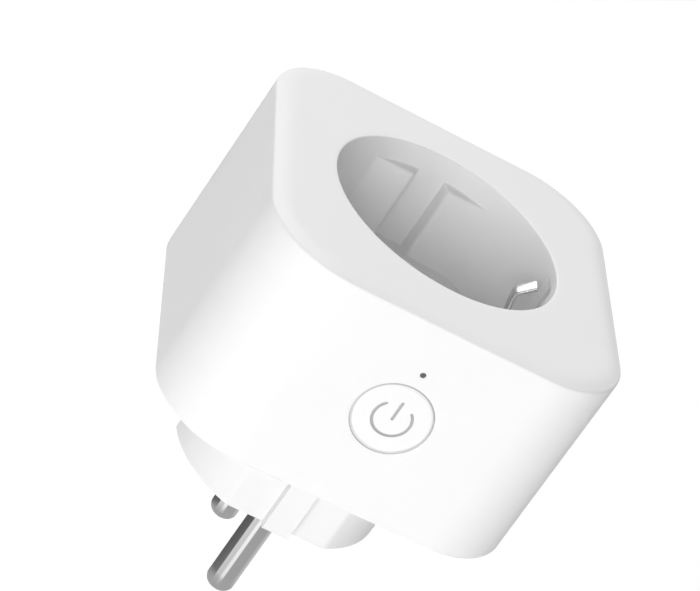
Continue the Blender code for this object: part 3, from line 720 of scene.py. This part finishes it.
def button_surface(shape):
    """The cap as a polar grid: a fine disc whose depth follows the symbol, a sloping rim, the side, and
    the flange behind the wall."""
    skin = Skin()
    front, back = BUTTON_LOW.y, BUTTON_HIGH.y
    angle = full_turn(CAP_COLUMNS)
    radii = np.concatenate([[0.0], np.linspace(0.04, 3.6, 84) * MM, np.linspace(3.9, 5.7, 7) * MM])
    across, up = radii[:, None] * np.cos(angle), radii[:, None] * np.sin(angle)
    depth = front + shape.symbol_depth * symbol_mask(across, up)
    skin.grid(np.stack([across, depth, BUTTON_Z + up], axis=-1))
    flange_y = back - FLANGE_THICK
    profile = [(radii[-1], front), (CAP_RADIUS - 0.22 * MM, front)]
    profile += [(CAP_RADIUS - 0.16 * MM, front + 0.04 * MM)]
    profile += [(CAP_RADIUS, front + COLLAR_DEPTH / 2), (COLLAR_RADIUS, front + COLLAR_DEPTH)]
    profile += [(COLLAR_RADIUS, flange_y), (CAP_FLANGE, flange_y), (CAP_FLANGE, back), (0.0, back)]
    skin.turn(profile, angle, (0, 0, BUTTON_Z), 0, 2)
    return skin.piece("button_cap")


def light_guide_surface(shape):
    """The smoked light guide: a thin stem that fills the pinhole, and a body over the lamp."""
    skin = Skin()
    stem = shape.light_hole - 0.03 * MM
    face_y = -(STRAIGHT + side_radius(shape, LIGHT_Z)) + 0.12 * MM
    body = (LIGHT_HIGH.x - LIGHT_LOW.x) / 2
    tip, edge = 0.05 * MM, 0.3 * MM
    low, high = LIGHT_LOW.y, LIGHT_HIGH.y
    profile = [(0.0, face_y), (stem - tip, face_y), (stem, face_y + tip), (stem, low)]
    profile += [(body - edge, low), (body, low + edge), (body, high), (0.0, high)]
    skin.turn(profile, full_turn(32), (0, 0, LIGHT_Z), 0, 2)
    return skin.piece("light_guide")


# Metal

PIN_RADIUS = 2.4 * MM
PIN_TIP = 1.5 * MM
PIN_TAIL = 1.8 * MM
COLLAR_Z = (4.3 * MM, 5.5 * MM)  # where a pin's collar starts and ends
STRIP_THICK = 0.6 * MM
STRIP_EDGE = 0.16 * MM


def pin_surface(name, node):
    """A contact pin turned about its axis, with a rounded tip and a collar inside the boss."""
    low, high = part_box(node)
    collar, (collar_low, collar_high) = (high.x - low.x) / 2, COLLAR_Z
    profile = [(0.0, low.z)]
    for along, down in edge_turn(14):
        profile.append((PIN_RADIUS - PIN_TIP * (1 - along), low.z + PIN_TIP * down))
    profile += [(PIN_RADIUS, z) for z in np.linspace(low.z + PIN_TIP, collar_low, 12)[1:]]
    profile += [(collar, collar_low), (collar, collar_high), (PIN_TAIL, collar_high)]
    profile += [(PIN_TAIL, high.z), (0.0, high.z)]
    skin = Skin()
    skin.turn(profile, full_turn(96), (0, (low.y + high.y) / 2, 0))
    return skin.piece(name)


def screw_surface(name, node):
    """A pan-head screw with a plain shank.  Its head is a polar grid whose height is a dome that falls
    with the fourth power of the radius, plus a cross recess of two soft-edged slots."""
    low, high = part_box(node)
    centre = ((low.x + high.x) / 2, (low.y + high.y) / 2)
    head, head_thick, shank, dome_drop = (high.x - low.x) / 2, 0.6 * MM, 1.2 * MM, 0.28 * MM
    angle = full_turn(120)
    share = np.linspace(0, 1, 60)[:, None]
    across, along = head * share * np.cos(angle), head * share * np.sin(angle)
    slot_half, slot_end, slot_deep = 0.38 * MM, 1.55 * MM, 0.45 * MM
    arms = []
    for first, second in ((across, along), (along, across)):
        arm = 1 - soft_step(np.abs(first), slot_half * 0.75, slot_half)
        arms.append(arm * (1 - soft_step(np.abs(second), slot_end * 0.8, slot_end)))
    recess = slot_deep * np.maximum(arms[0], arms[1])
    height = low.z + dome_drop * share**4 + recess
    skin = Skin()
    skin.grid(np.stack([centre[0] + across, centre[1] + along, height], axis=-1))
    head_top = low.z + head_thick
    profile = [(head, low.z + dome_drop), (head, head_top), (shank, head_top), (shank, high.z - MM)]
    profile += [(shank * 0.5, high.z), (0.0, high.z)]
    skin.turn(profile, angle, (*centre, 0))
    return skin.piece(name)


def smooth_path(points, bend, steps=6):
    """A path whose corners are parabolas that leave each leg at a distance bend from the corner."""
    points = np.asarray(points, float)
    path = [points[:1]]
    share = np.linspace(0, 1, steps + 1)[:, None]
    for before, corner, after in zip(points[:-2], points[1:-1], points[2:]):
        back, ahead = before - corner, after - corner
        reach_back = min(bend, 0.45 * np.linalg.norm(back))
        reach_ahead = min(bend, 0.45 * np.linalg.norm(ahead))
        start = corner + back / np.linalg.norm(back) * reach_back
        end = corner + ahead / np.linalg.norm(ahead) * reach_ahead
        path.append((1 - share) ** 2 * start + 2 * share * (1 - share) * corner + share**2 * end)
    path.append(points[-1:])
    return np.concatenate(path)


def strip_surface(name, points, width, bend):
    """A metal strip: a rounded rectangle carried along a path in the XZ plane, its width along Y.  Each
    point is the path's point plus the normal times the section's height, and the ends close in a point."""
    path = smooth_path(points, bend)
    tangent = np.gradient(path, axis=0)
    tangent /= np.linalg.norm(tangent, axis=1, keepdims=True)
    normal = np.stack([-tangent[:, 1], tangent[:, 0]], axis=-1)
    turn = np.linspace(0, math.pi / 2, 4)
    corner = np.stack([np.cos(turn), np.sin(turn)], axis=-1) * STRIP_EDGE
    quarter = corner + (width / 2 - STRIP_EDGE, STRIP_THICK / 2 - STRIP_EDGE)
    section = np.concatenate(
        [quarter, quarter[::-1] * (-1, 1), quarter * (-1, -1), quarter[::-1] * (1, -1)]
    )
    offsets = np.repeat(section[None], len(path) + 2, axis=0)
    offsets[[0, -1]] = 0.0
    places = np.concatenate([path[:1], path, path[-1:]])[:, None]
    normals = np.concatenate([normal[:1], normal, normal[-1:]])[:, None]
    beside = places + normals * offsets[..., 1:]
    grid = np.stack([beside[..., 0], offsets[..., 0], beside[..., 1]], axis=-1)
    skin = Skin()
    skin.grid(grid)
    return skin.piece(name)


def earth_bracket_surface():
    """Both earth clips and the bridge between them, with rounded bends."""
    low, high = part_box("socket_earth_bracket")
    outer = high.x - STRIP_THICK / 2
    bridge_z = low.z + STRIP_THICK / 2
    clip = [
        (17.9 * MM, FACE_Z - 3.1 * MM),
        (15.5 * MM, FACE_Z - 5.6 * MM),
        (16.0 * MM, FACE_Z - 8.5 * MM),
        (outer - 0.3 * MM, FACE_Z - 15.5 * MM),
        (outer, FACE_Z - 19.5 * MM),
        (outer, bridge_z),
    ]
    path = clip + [(-x, z) for x, z in reversed(clip)]
    return strip_surface("earth_bracket", path, high.y - low.y, 0.5 * MM)


def earth_strip_surface(name, node):
    """One sprung earth strip in the boss's groove, bent in at its tip."""
    low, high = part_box(node)
    side = math.copysign(1.0, low.x + high.x)
    outer = max(abs(low.x), abs(high.x)) - STRIP_THICK / 2
    path = [(side * (outer - 0.6 * MM), 1.0 * MM), (side * outer, 3.2 * MM), (side * outer, high.z)]
    return strip_surface(name, path, high.y - low.y, 0.8 * MM)


# Materials

SYMBOL_REACH = 4.5 * MM  # inside this radius the cap's recess gets the symbol's grey, outside it the step's painted shade
RECESS_FLOOR = (0.055 * MM, 0.105 * MM)  # depths between which the symbol's grey and the step's painted shade come in
RECESS_LEAN = -0.0083  # how much those depths grow per metre above the cap's middle, so the step's painted shade is narrower at its top than at its bottom
RING_PAINTED_SHADES = (1.45, 0.85)  # painted shade on the step: lighter at its bottom, darker at its top, as light falls into the groove
REAR_PAINTED_SHADE = 0.94  # painted shade: the rear cover is painted a little darker than the housing, standing in for the shade on the boss
COPPER = (0.80, 0.62, 0.32)
GREEN_MASK = (0.03, 0.20, 0.08)
BLUE_MASK = (0.02, 0.05, 0.22)
ZINC = (0.60, 0.60, 0.62)
PLASTIC_SPREAD = 0.12  # how far the mottle moves the roughness
PLASTIC_SPECULAR = 0.3
METAL_COLOUR_SPREAD = 0.03
METAL_GLOSS_SPREAD = 0.04

# Colour and roughness of the inner parts' moulded and cast finishes
CAST_FINISH = {
    "grey": ((0.45, 0.46, 0.47), 0.45),
    "black": ((0.03, 0.03, 0.035), 0.42),
    "relay": ((0.04, 0.12, 0.40), 0.32),
    "ferrite": ((0.08, 0.08, 0.085), 0.7),
    "tape": ((0.80, 0.62, 0.10), 0.4),
    "varistor": ((0.03, 0.10, 0.35), 0.3),
    "cement": ((0.38, 0.42, 0.40), 0.75),
    "clear": ((0.75, 0.78, 0.80), 0.15),
}
INNER_FINISH = {
    "brass": ("live_contact", "neutral_contact", "live_busbar", "neutral_busbar", "current_shunt"),
    "steel": ("carrier_screw_1", "carrier_screw_2", "shutter_spring", "wifi_shield_can", "tact_switch_body"),
    "grey": ("shutter_carrier", "safety_shutter"),
    "board": ("main_pcb", "control_pcb"),
    "radio_board": ("wifi_module_board",),
    "relay": ("relay",),
    "ferrite": ("transformer_core",),
    "tape": ("transformer_winding",),
    "varistor": ("varistor",),
    "cement": ("fuse_resistor",),
    "clear": ("status_led",),
    "black": (
        "capacitor_1", "capacitor_2", "metering_chip", "power_chip", "board_connector", "switch_plunger",
    ),
}
GROUPS = {}
MATERIALS = {}


def node_group(name, inputs, outputs):
    """An empty shader node group with named float sockets, and its input and output nodes."""
    group = bpy.data.node_groups.new(name, "ShaderNodeTree")
    for label, value in inputs.items():
        socket = group.interface.new_socket(name=label, in_out="INPUT", socket_type="NodeSocketFloat")
        socket.default_value = value
    for label in outputs:
        group.interface.new_socket(name=label, in_out="OUTPUT", socket_type="NodeSocketFloat")
    return group, group.nodes.new("NodeGroupInput"), group.nodes.new("NodeGroupOutput")


def link(tree, value, socket):
    """Links an output to a socket, or sets the socket to a number or colour."""
    if isinstance(value, bpy.types.NodeSocket):
        tree.links.new(value, socket)
    else:
        socket.default_value = value


def link_place(tree, output="Object"):
    """The place on the surface, in one of Texture Coordinate's spaces."""
    return tree.nodes.new("ShaderNodeTexCoord").outputs[output]


def link_axes(tree, output="Object"):
    """The X, Y and Z outputs of the place on the surface."""
    parts = tree.nodes.new("ShaderNodeSeparateXYZ")
    tree.links.new(link_place(tree, output), parts.inputs[0])
    return parts.outputs


def link_group(tree, key):
    """One of the shared groups, placed in a tree."""
    effect = tree.nodes.new("ShaderNodeGroup")
    effect.node_tree = GROUPS[key]
    return effect


def link_noise(tree, vector, scale, detail, roughness=0.5):
    """A noise texture on a vector output.  scale is a number or an output to read it from."""
    noise = tree.nodes.new("ShaderNodeTexNoise")
    noise.inputs["Detail"].default_value = detail
    noise.inputs["Roughness"].default_value = roughness
    tree.links.new(vector, noise.inputs["Vector"])
    link(tree, scale, noise.inputs["Scale"])
    return noise.outputs["Fac"]


def link_math(tree, operation, *values):
    """A Math node of values, each a number or an output."""
    made = tree.nodes.new("ShaderNodeMath")
    made.operation = operation
    for socket, value in zip(made.inputs, values):
        link(tree, value, socket)
    return made.outputs[0]


def link_range(tree, value, low, high):
    """0 where the value is low, 1 where it is high, and evenly between."""
    made = tree.nodes.new("ShaderNodeMapRange")
    made.inputs["From Min"].default_value = low
    made.inputs["From Max"].default_value = high
    tree.links.new(value, made.inputs["Value"])
    return made.outputs["Result"]


def link_mix(tree, factor, first, second):
    """A blend of two colours, each given as it is or as an output."""
    made = tree.nodes.new("ShaderNodeMix")
    made.data_type = "RGBA"
    tree.links.new(factor, made.inputs["Factor"])
    link(tree, first, made.inputs["A"])
    link(tree, second, made.inputs["B"])
    return made.outputs["Result"]


def build_grain_group():
    """Spark-eroded moulding grain: a fine height, and a slow mottle round 0 for colour and gloss."""
    inputs = {"Grain scale": 5200.0, "Mottle scale": 60.0}
    group, entry, leave = node_group("moulding_grain", inputs, ("Height", "Mottle"))
    where = link_place(group)
    grain = link_noise(group, where, entry.outputs["Grain scale"], 3.0, 0.6)
    mottle = link_noise(group, where, entry.outputs["Mottle scale"], 2.0)
    link(group, grain, leave.inputs["Height"])
    link(group, link_math(group, "SUBTRACT", mottle, 0.5), leave.inputs["Mottle"])
    return group


def build_brush_group():
    """Drawn metal: a height stretched along Z, and a cloud round 0 for colour and gloss."""
    inputs = {"Line scale": 2600.0, "Along": 0.06}
    group, entry, leave = node_group("drawn_metal", inputs, ("Height", "Mottle"))
    where = link_place(group)
    stretch = group.nodes.new("ShaderNodeCombineXYZ")
    for socket, value in zip(stretch.inputs, (1.0, 1.0, entry.outputs["Along"])):
        link(group, value, socket)
    product = group.nodes.new("ShaderNodeVectorMath")
    product.operation = "MULTIPLY"
    link(group, where, product.inputs[0])
    link(group, stretch.outputs[0], product.inputs[1])
    lines = link_noise(group, product.outputs[0], entry.outputs["Line scale"], 2.0)
    cloud = link_noise(group, where, 180.0, 3.0)
    link(group, lines, leave.inputs["Height"])
    link(group, link_math(group, "SUBTRACT", cloud, 0.5), leave.inputs["Mottle"])
    return group


def build_board_group():
    """A circuit board's masks: fine tracks from a brick pattern, and small round pads."""
    group, _, leave = node_group("board_pattern", {}, ("Track", "Pad"))
    where = link_place(group)
    tracks = group.nodes.new("ShaderNodeTexBrick")
    tracks.inputs["Scale"].default_value = 420.0
    tracks.inputs["Mortar Size"].default_value = 0.03
    link(group, where, tracks.inputs["Vector"])
    pads = group.nodes.new("ShaderNodeTexVoronoi")
    pads.inputs["Scale"].default_value = 380.0
    link(group, where, pads.inputs["Vector"])
    link(group, tracks.outputs["Fac"], leave.inputs["Track"])
    link(group, link_math(group, "LESS_THAN", pads.outputs["Distance"], 0.16), leave.inputs["Pad"])
    return group


def new_material(name, metallic=0.0):
    """A material with its Principled shader."""
    made = bpy.data.materials.new(name)
    made.use_nodes = True
    shader = made.node_tree.nodes["Principled BSDF"]
    shader.inputs["Metallic"].default_value = metallic
    return made, made.node_tree, shader


def shade(value, factor=1.0):
    """A colour made lighter or darker by a factor, with its alpha."""
    return (*[min(1.0, channel * factor) for channel in value], 1.0)


def surface_from(tree, shader, key, colour, roughness, spread, gloss_spread, bump_height):
    """Drives colour, roughness and bump from a group that gives Height and Mottle."""
    effect = link_group(tree, key)
    mottle = effect.outputs["Mottle"]
    amount = link_math(tree, "ADD", mottle, 0.5)
    blend = link_mix(tree, amount, shade(colour, 1 - spread), shade(colour, 1 + spread))
    link(tree, blend, shader.inputs["Base Color"])
    gloss_here = link_math(tree, "MULTIPLY_ADD", mottle, gloss_spread, roughness)
    link(tree, gloss_here, shader.inputs["Roughness"])
    bump = tree.nodes.new("ShaderNodeBump")
    bump.inputs["Strength"].default_value = 1.0
    bump.inputs["Distance"].default_value = bump_height
    link(tree, effect.outputs["Height"], bump.inputs["Height"])
    link(tree, bump.outputs["Normal"], shader.inputs["Normal"])
    return effect


def moulded_plastic(name, colour, roughness, grain=5200.0, bump_height=3.5e-6, spread=0.012):
    """Moulded plastic with spark-eroded grain."""
    made, tree, shader = new_material(name)
    effect = surface_from(tree, shader, "grain", colour, roughness, spread, PLASTIC_SPREAD, bump_height)
    effect.inputs["Grain scale"].default_value = grain
    shader.inputs["Specular IOR Level"].default_value = PLASTIC_SPECULAR
    return made


def plated_metal(name, colour, roughness, along=0.06, bump_height=6e-7):
    """Plated or bare metal with drawn lines."""
    made, tree, shader = new_material(name, 1.0)
    spreads = (METAL_COLOUR_SPREAD, METAL_GLOSS_SPREAD)
    effect = surface_from(tree, shader, "brush", colour, roughness, *spreads, bump_height)
    effect.inputs["Along"].default_value = along
    return made


def circuit_board(name, colour):
    """Solder mask over tracks, with bare copper pads."""
    made, tree, shader = new_material(name)
    outputs = link_group(tree, "board").outputs
    tracks = link_mix(tree, outputs["Track"], shade(colour), shade(colour, 1.9))
    link(tree, link_mix(tree, outputs["Pad"], tracks, shade(COPPER)), shader.inputs["Base Color"])
    link(tree, outputs["Pad"], shader.inputs["Metallic"])
    shader.inputs["Roughness"].default_value = 0.35
    return made


def paint_symbol_and_ring_shade(material, symbol, ring):
    """Tints what lies deeper than the cap's face: grey in the symbol near the middle, and painted shade in
    the step at the rim, lighter at its bottom and darker at its top."""
    tree = material.node_tree
    base = tree.nodes["Principled BSDF"].inputs["Base Color"]
    plain = base.links[0].from_socket
    axes = link_axes(tree)
    up = link_math(tree, "SUBTRACT", axes["Z"], BUTTON_Z)
    across = link_math(tree, "POWER", axes["X"], 2.0)
    square = link_math(tree, "ADD", across, link_math(tree, "POWER", up, 2.0))
    outside = link_math(tree, "GREATER_THAN", square, SYMBOL_REACH**2)
    # the depth limit leans with height, so the step's painted shade is narrower at its top
    depth = link_math(tree, "MULTIPLY_ADD", up, RECESS_LEAN, axes["Y"])
    deep = link_range(tree, depth, *[BUTTON_LOW.y + limit for limit in RECESS_FLOOR])
    # painted shade: the step's grey runs from light at its bottom to dark at its top
    high = link_range(tree, up, -COLLAR_RADIUS, COLLAR_RADIUS)
    step = link_mix(tree, high, *[shade(ring, factor) for factor in RING_PAINTED_SHADES])
    paint = link_mix(tree, outside, shade(symbol), step)
    link(tree, link_mix(tree, deep, plain, paint), base)


def wear(piece, material):
    """Gives a piece its material."""
    piece.data.materials.clear()
    piece.data.materials.append(material)


# Operators


class SMARTPLUG_OT_materials(bpy.types.Operator):
    """Builds the shared node groups and every material"""

    bl_idname = "smartplug.materials"
    bl_label = "Materials"

    def execute(self, context):
        finish = context.scene.plug_finish
        GROUPS["grain"] = build_grain_group()
        GROUPS["brush"] = build_brush_group()
        GROUPS["board"] = build_board_group()
        plastic = finish.plastic_roughness
        metal = finish.metal_roughness
        MATERIALS["housing"] = moulded_plastic("white_moulded", finish.housing_colour, plastic)
        # painted shade: the rear cover takes the housing's colour darkened, standing in for the shade on the
        # boss
        rear = shade(finish.housing_colour, REAR_PAINTED_SHADE)[:3]
        MATERIALS["rear"] = moulded_plastic("white_rear", rear, plastic)
        MATERIALS["button"] = moulded_plastic("white_button", finish.button_colour, plastic - 0.06)
        # grey in the symbol, and painted shade in the step round the button
        paint_symbol_and_ring_shade(MATERIALS["button"], finish.symbol_colour, finish.ring_shade_colour)
        MATERIALS["lens"] = moulded_plastic("smoked_lens", finish.lens_colour, 0.18, 1800.0, 1e-6)
        MATERIALS["nickel"] = plated_metal("bright_nickel", finish.nickel_colour, metal)
        MATERIALS["spring_nickel"] = plated_metal("strip_nickel", finish.strip_colour, metal + 0.14, 1.0)
        MATERIALS["brass"] = plated_metal("stamped_brass", finish.brass_colour, 0.30)
        MATERIALS["steel"] = plated_metal("zinc_steel", ZINC, 0.34, 1.0)
        MATERIALS["board"] = circuit_board("green_board", GREEN_MASK)
        MATERIALS["radio_board"] = circuit_board("blue_board", BLUE_MASK)
        for key, (colour, roughness) in CAST_FINISH.items():
            MATERIALS[key] = moulded_plastic(key + "_moulded", colour, roughness, 3000.0, 6e-6, 0.06)
        return {"FINISHED"}


class SMARTPLUG_OT_housing(bpy.types.Operator):
    """Builds the front housing with its socket well"""

    bl_idname = "smartplug.housing"
    bl_label = "Front housing"

    def execute(self, context):
        piece = front_housing_surface(context.scene.plug_shape)
        wear(piece, MATERIALS["housing"])
        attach(piece, HOUSING)
        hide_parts("front_housing")
        return {"FINISHED"}


class SMARTPLUG_OT_rear_cover(bpy.types.Operator):
    """Builds the rear cover with its plug boss"""

    bl_idname = "smartplug.rear_cover"
    bl_label = "Rear cover"

    def execute(self, context):
        piece = rear_cover_surface(context.scene.plug_shape)
        wear(piece, MATERIALS["rear"])
        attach(piece, HOUSING)
        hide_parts("rear_cover")
        for i in range(1, 5):
            node = f"cover_screw_{i}"
            screw = screw_surface(f"back_screw_{i}", node)
            wear(screw, MATERIALS["steel"])
            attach(screw, HOUSING)
            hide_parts(node)
        return {"FINISHED"}


class SMARTPLUG_OT_button(bpy.types.Operator):
    """Builds the power button and the status light's guide"""

    bl_idname = "smartplug.button"
    bl_label = "Button and light"

    def execute(self, context):
        shape = context.scene.plug_shape
        cap = button_surface(shape)
        wear(cap, MATERIALS["button"])
        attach(cap, BUTTON)
        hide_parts("power_button")
        guide = light_guide_surface(shape)
        wear(guide, MATERIALS["lens"])
        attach(guide, HOUSING)
        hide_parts("light_pipe")
        return {"FINISHED"}


class SMARTPLUG_OT_metal(bpy.types.Operator):
    """Builds the pins, the earth clips and the earth strips"""

    bl_idname = "smartplug.metal"
    bl_label = "Pins and earth parts"

    def execute(self, context):
        made = []
        for line in ("live", "neutral"):
            node = f"{line}_pin"
            made.append((pin_surface(f"{line}_contact_pin", node), "nickel", "plug_pin_metal", node))
        made.append((earth_bracket_surface(), "spring_nickel", "earth_metal", "socket_earth_bracket"))
        for side in ("left", "right"):
            node = f"plug_earth_contact_{side}"
            strip = earth_strip_surface(f"earth_strip_{side}", node)
            made.append((strip, "spring_nickel", "earth_metal", node))
        for piece, material, slot, node in made:
            wear(piece, MATERIALS[material])
            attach(piece, HOUSING)
            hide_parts(node)
        return {"FINISHED"}


class SMARTPLUG_OT_inner_parts(bpy.types.Operator):
    """Gives the inner parts their materials"""

    bl_idname = "smartplug.inner_parts"
    bl_label = "Inner parts"

    def execute(self, context):
        for key, names in INNER_FINISH.items():
            for name in names:
                wear(frame["nodes"][name], MATERIALS[key])
        return {"FINISHED"}


# Studio

# Square soft lights: name, side, reach, bearing, rise and the setting that holds the power
LIGHTS = (
    ("key_light", 1.1, 1.6, -108, 10, "key"),
    ("front_light", 1.1, 1.6, -112, 35, "front"),
    ("back_light", 1.35, 2.4, 90, 50, "back"),
    ("low_light", 1.35, 2.4, 112, 20, "low"),
)
# Sectors of the compass below the horizon: (share of the turn from -X through -Y, brightness)
BANDS = ((0.0, 0.12), (0.04, 0.13), (0.055, 0.82), (0.15, 0.72), (0.18, 1.18), (0.235, 1.18))
BANDS += ((0.25, 0.42), (0.46, 0.42), (0.56, 0.60), (0.66, 0.62), (0.70, 0.11), (1.0, 0.12))
STEEP = (-0.552, -0.575)  # Z of the directions between which the sectors turn into one grey
STEEP_GREY = 0.44
HORIZON = (-0.12, -0.02)  # Z of the directions between which the ground turns into sky
CAMERA_PLACE = (-0.12986, -0.37470, 0.24142)
CAMERA_RIGHT = (0.86299, -0.00521, 0.50519)
CAMERA_AHEAD = (0.27759, 0.84064, -0.46516)
SENSOR_WIDTH = 36.0
# Radius and lift of the floor's rings
FLOOR_RINGS = ((0.0, 0.0), (0.2, 0.0), (0.5, 0.0), (1.0, 0.0), (2.0, 0.0))
FLOOR_RINGS += ((3.0, 0.15), (3.6, 0.5), (4.0, 1.2))


def softbox(name, size, reach, bearing, rise, energy):
    """A square soft light at a reach from the middle of the casing, at a bearing from +X towards +Y and
    a rise above the horizon, both in degrees.  It looks at the middle of the casing."""
    middle = Vector((0.0, 0.0, (BACK_Z + FACE_Z) / 2))
    around, above = math.radians(bearing), math.radians(rise)
    level = math.cos(above)
    away = Vector((level * math.cos(around), level * math.sin(around), math.sin(above)))
    data = bpy.data.lights.new(name, "AREA")
    data.shape = "SQUARE"
    data.size = size
    data.energy = energy
    made = bpy.data.objects.new(name, data)
    made.location = middle + reach * away
    made.rotation_euler = (-away).to_track_quat("-Z", "Y").to_euler()
    bpy.context.scene.collection.objects.link(made)


def grey(value):
    """A grey with its alpha, which may be brighter than 1."""
    return (value, value, value, 1.0)


def build_world(sky):
    """The surroundings: an even sky, and below the horizon the sectors of the compass in BANDS, all one
    grey where the direction is steep.  The floor hides them from everything but reflections."""
    world = bpy.data.worlds.new("studio")
    world.use_nodes = True
    tree = world.node_tree
    axes = link_axes(tree, "Generated")
    bearing = link_math(tree, "ARCTAN2", axes["Y"], axes["X"])
    ramp = tree.nodes.new("ShaderNodeValToRGB")
    link(tree, link_math(tree, "MULTIPLY_ADD", bearing, 1 / math.tau, 0.5), ramp.inputs["Fac"])
    stops = ramp.color_ramp.elements
    while len(stops) > 1:
        stops.remove(stops[-1])
    for index, (place, value) in enumerate(BANDS):
        stop = stops[0] if index == 0 else stops.new(place)
        stop.position = place
        stop.color = grey(value)
    steep = link_range(tree, axes["Z"], *STEEP)
    under = link_mix(tree, steep, ramp.outputs["Color"], grey(STEEP_GREY))
    above = link_range(tree, axes["Z"], *HORIZON)
    background = tree.nodes["Background"]
    background.inputs["Strength"].default_value = 1.0
    link(tree, link_mix(tree, above, under, grey(sky)), background.inputs["Color"])
    bpy.context.scene.world = world


def build_floor(height, colour):
    """A wide round floor as a polar grid whose rim curls up, with a faint mottle."""
    skin = Skin()
    skin.turn([(radius, height + lift) for radius, lift in FLOOR_RINGS], full_turn(96), (0, 0, 0))
    floor = skin.piece("studio_floor")
    floor.data.flip_normals()
    made, tree, shader = new_material("studio_floor")
    surface_from(tree, shader, "grain", colour, 0.9, spread=0.003, gloss_spread=0.02, bump_height=0.0)
    shader.inputs["Specular IOR Level"].default_value = 0.0
    floor.data.materials.append(made)
    floor.visible_glossy = False


def build_camera(lens):
    """The camera, from its place, its right-hand direction and the direction it looks in."""
    data = bpy.data.cameras.new("camera")
    data.lens = lens
    data.sensor_width = SENSOR_WIDTH
    data.clip_start = 0.01
    camera = bpy.data.objects.new("camera", data)
    right = Vector(CAMERA_RIGHT).normalized()
    ahead = Vector(CAMERA_AHEAD).normalized()
    up = right.cross(ahead).normalized()
    turn = Matrix((right, up, -ahead)).transposed()
    camera.matrix_world = Matrix.Translation(Vector(CAMERA_PLACE)) @ turn.to_4x4()
    bpy.context.scene.collection.objects.link(camera)
    bpy.context.scene.camera = camera


class SMARTPLUG_OT_stage(bpy.types.Operator):
    """Builds the floor, the lights and the camera"""

    bl_idname = "smartplug.stage"
    bl_label = "Studio"

    def execute(self, context):
        scene = context.scene
        studio = scene.plug_studio
        build_world(studio.sky)
        build_floor(PIN_LOW.z - studio.floor_drop, scene.plug_finish.floor_colour)
        for *place, setting in LIGHTS:
            softbox(*place, getattr(studio, setting))
        build_camera(studio.lens)
        scene.view_settings.view_transform = "Standard"
        return {"FINISHED"}


class SMARTPLUG_PT_panel(bpy.types.Panel):
    """Lists the plug's settings and builders"""

    bl_idname = "SMARTPLUG_PT_panel"
    bl_label = "Smart Plug"
    bl_space_type = "VIEW_3D"
    bl_region_type = "UI"
    bl_category = "Smart Plug"

    def draw(self, context):
        layout = self.layout
        for group in (context.scene.plug_shape, context.scene.plug_finish, context.scene.plug_studio):
            box = layout.box()
            for name in group.__annotations__:
                box.prop(group, name)
        for operator in OPERATORS:
            layout.operator(operator.bl_idname)


SETTINGS = {"plug_shape": PlugShape, "plug_finish": PlugFinish, "plug_studio": PlugStudio}
OPERATORS = (
    SMARTPLUG_OT_materials,
    SMARTPLUG_OT_housing,
    SMARTPLUG_OT_rear_cover,
    SMARTPLUG_OT_button,
    SMARTPLUG_OT_metal,
    SMARTPLUG_OT_inner_parts,
    SMARTPLUG_OT_stage,
)


def register():
    for name, group in SETTINGS.items():
        bpy.utils.register_class(group)
        setattr(bpy.types.Scene, name, PointerProperty(type=group))
    for operator in OPERATORS:
        bpy.utils.register_class(operator)
    bpy.utils.register_class(SMARTPLUG_PT_panel)


def unregister():
    bpy.utils.unregister_class(SMARTPLUG_PT_panel)
    for operator in reversed(OPERATORS):
        bpy.utils.unregister_class(operator)
    for name, group in SETTINGS.items():
        delattr(bpy.types.Scene, name)
        bpy.utils.unregister_class(group)


def main():
    register()
    bpy.ops.smartplug.materials()
    bpy.ops.smartplug.housing()
    bpy.ops.smartplug.rear_cover()
    bpy.ops.smartplug.button()
    bpy.ops.smartplug.metal()
    bpy.ops.smartplug.inner_parts()
    bpy.ops.smartplug.stage()


if __name__ == "__main__":
    main()
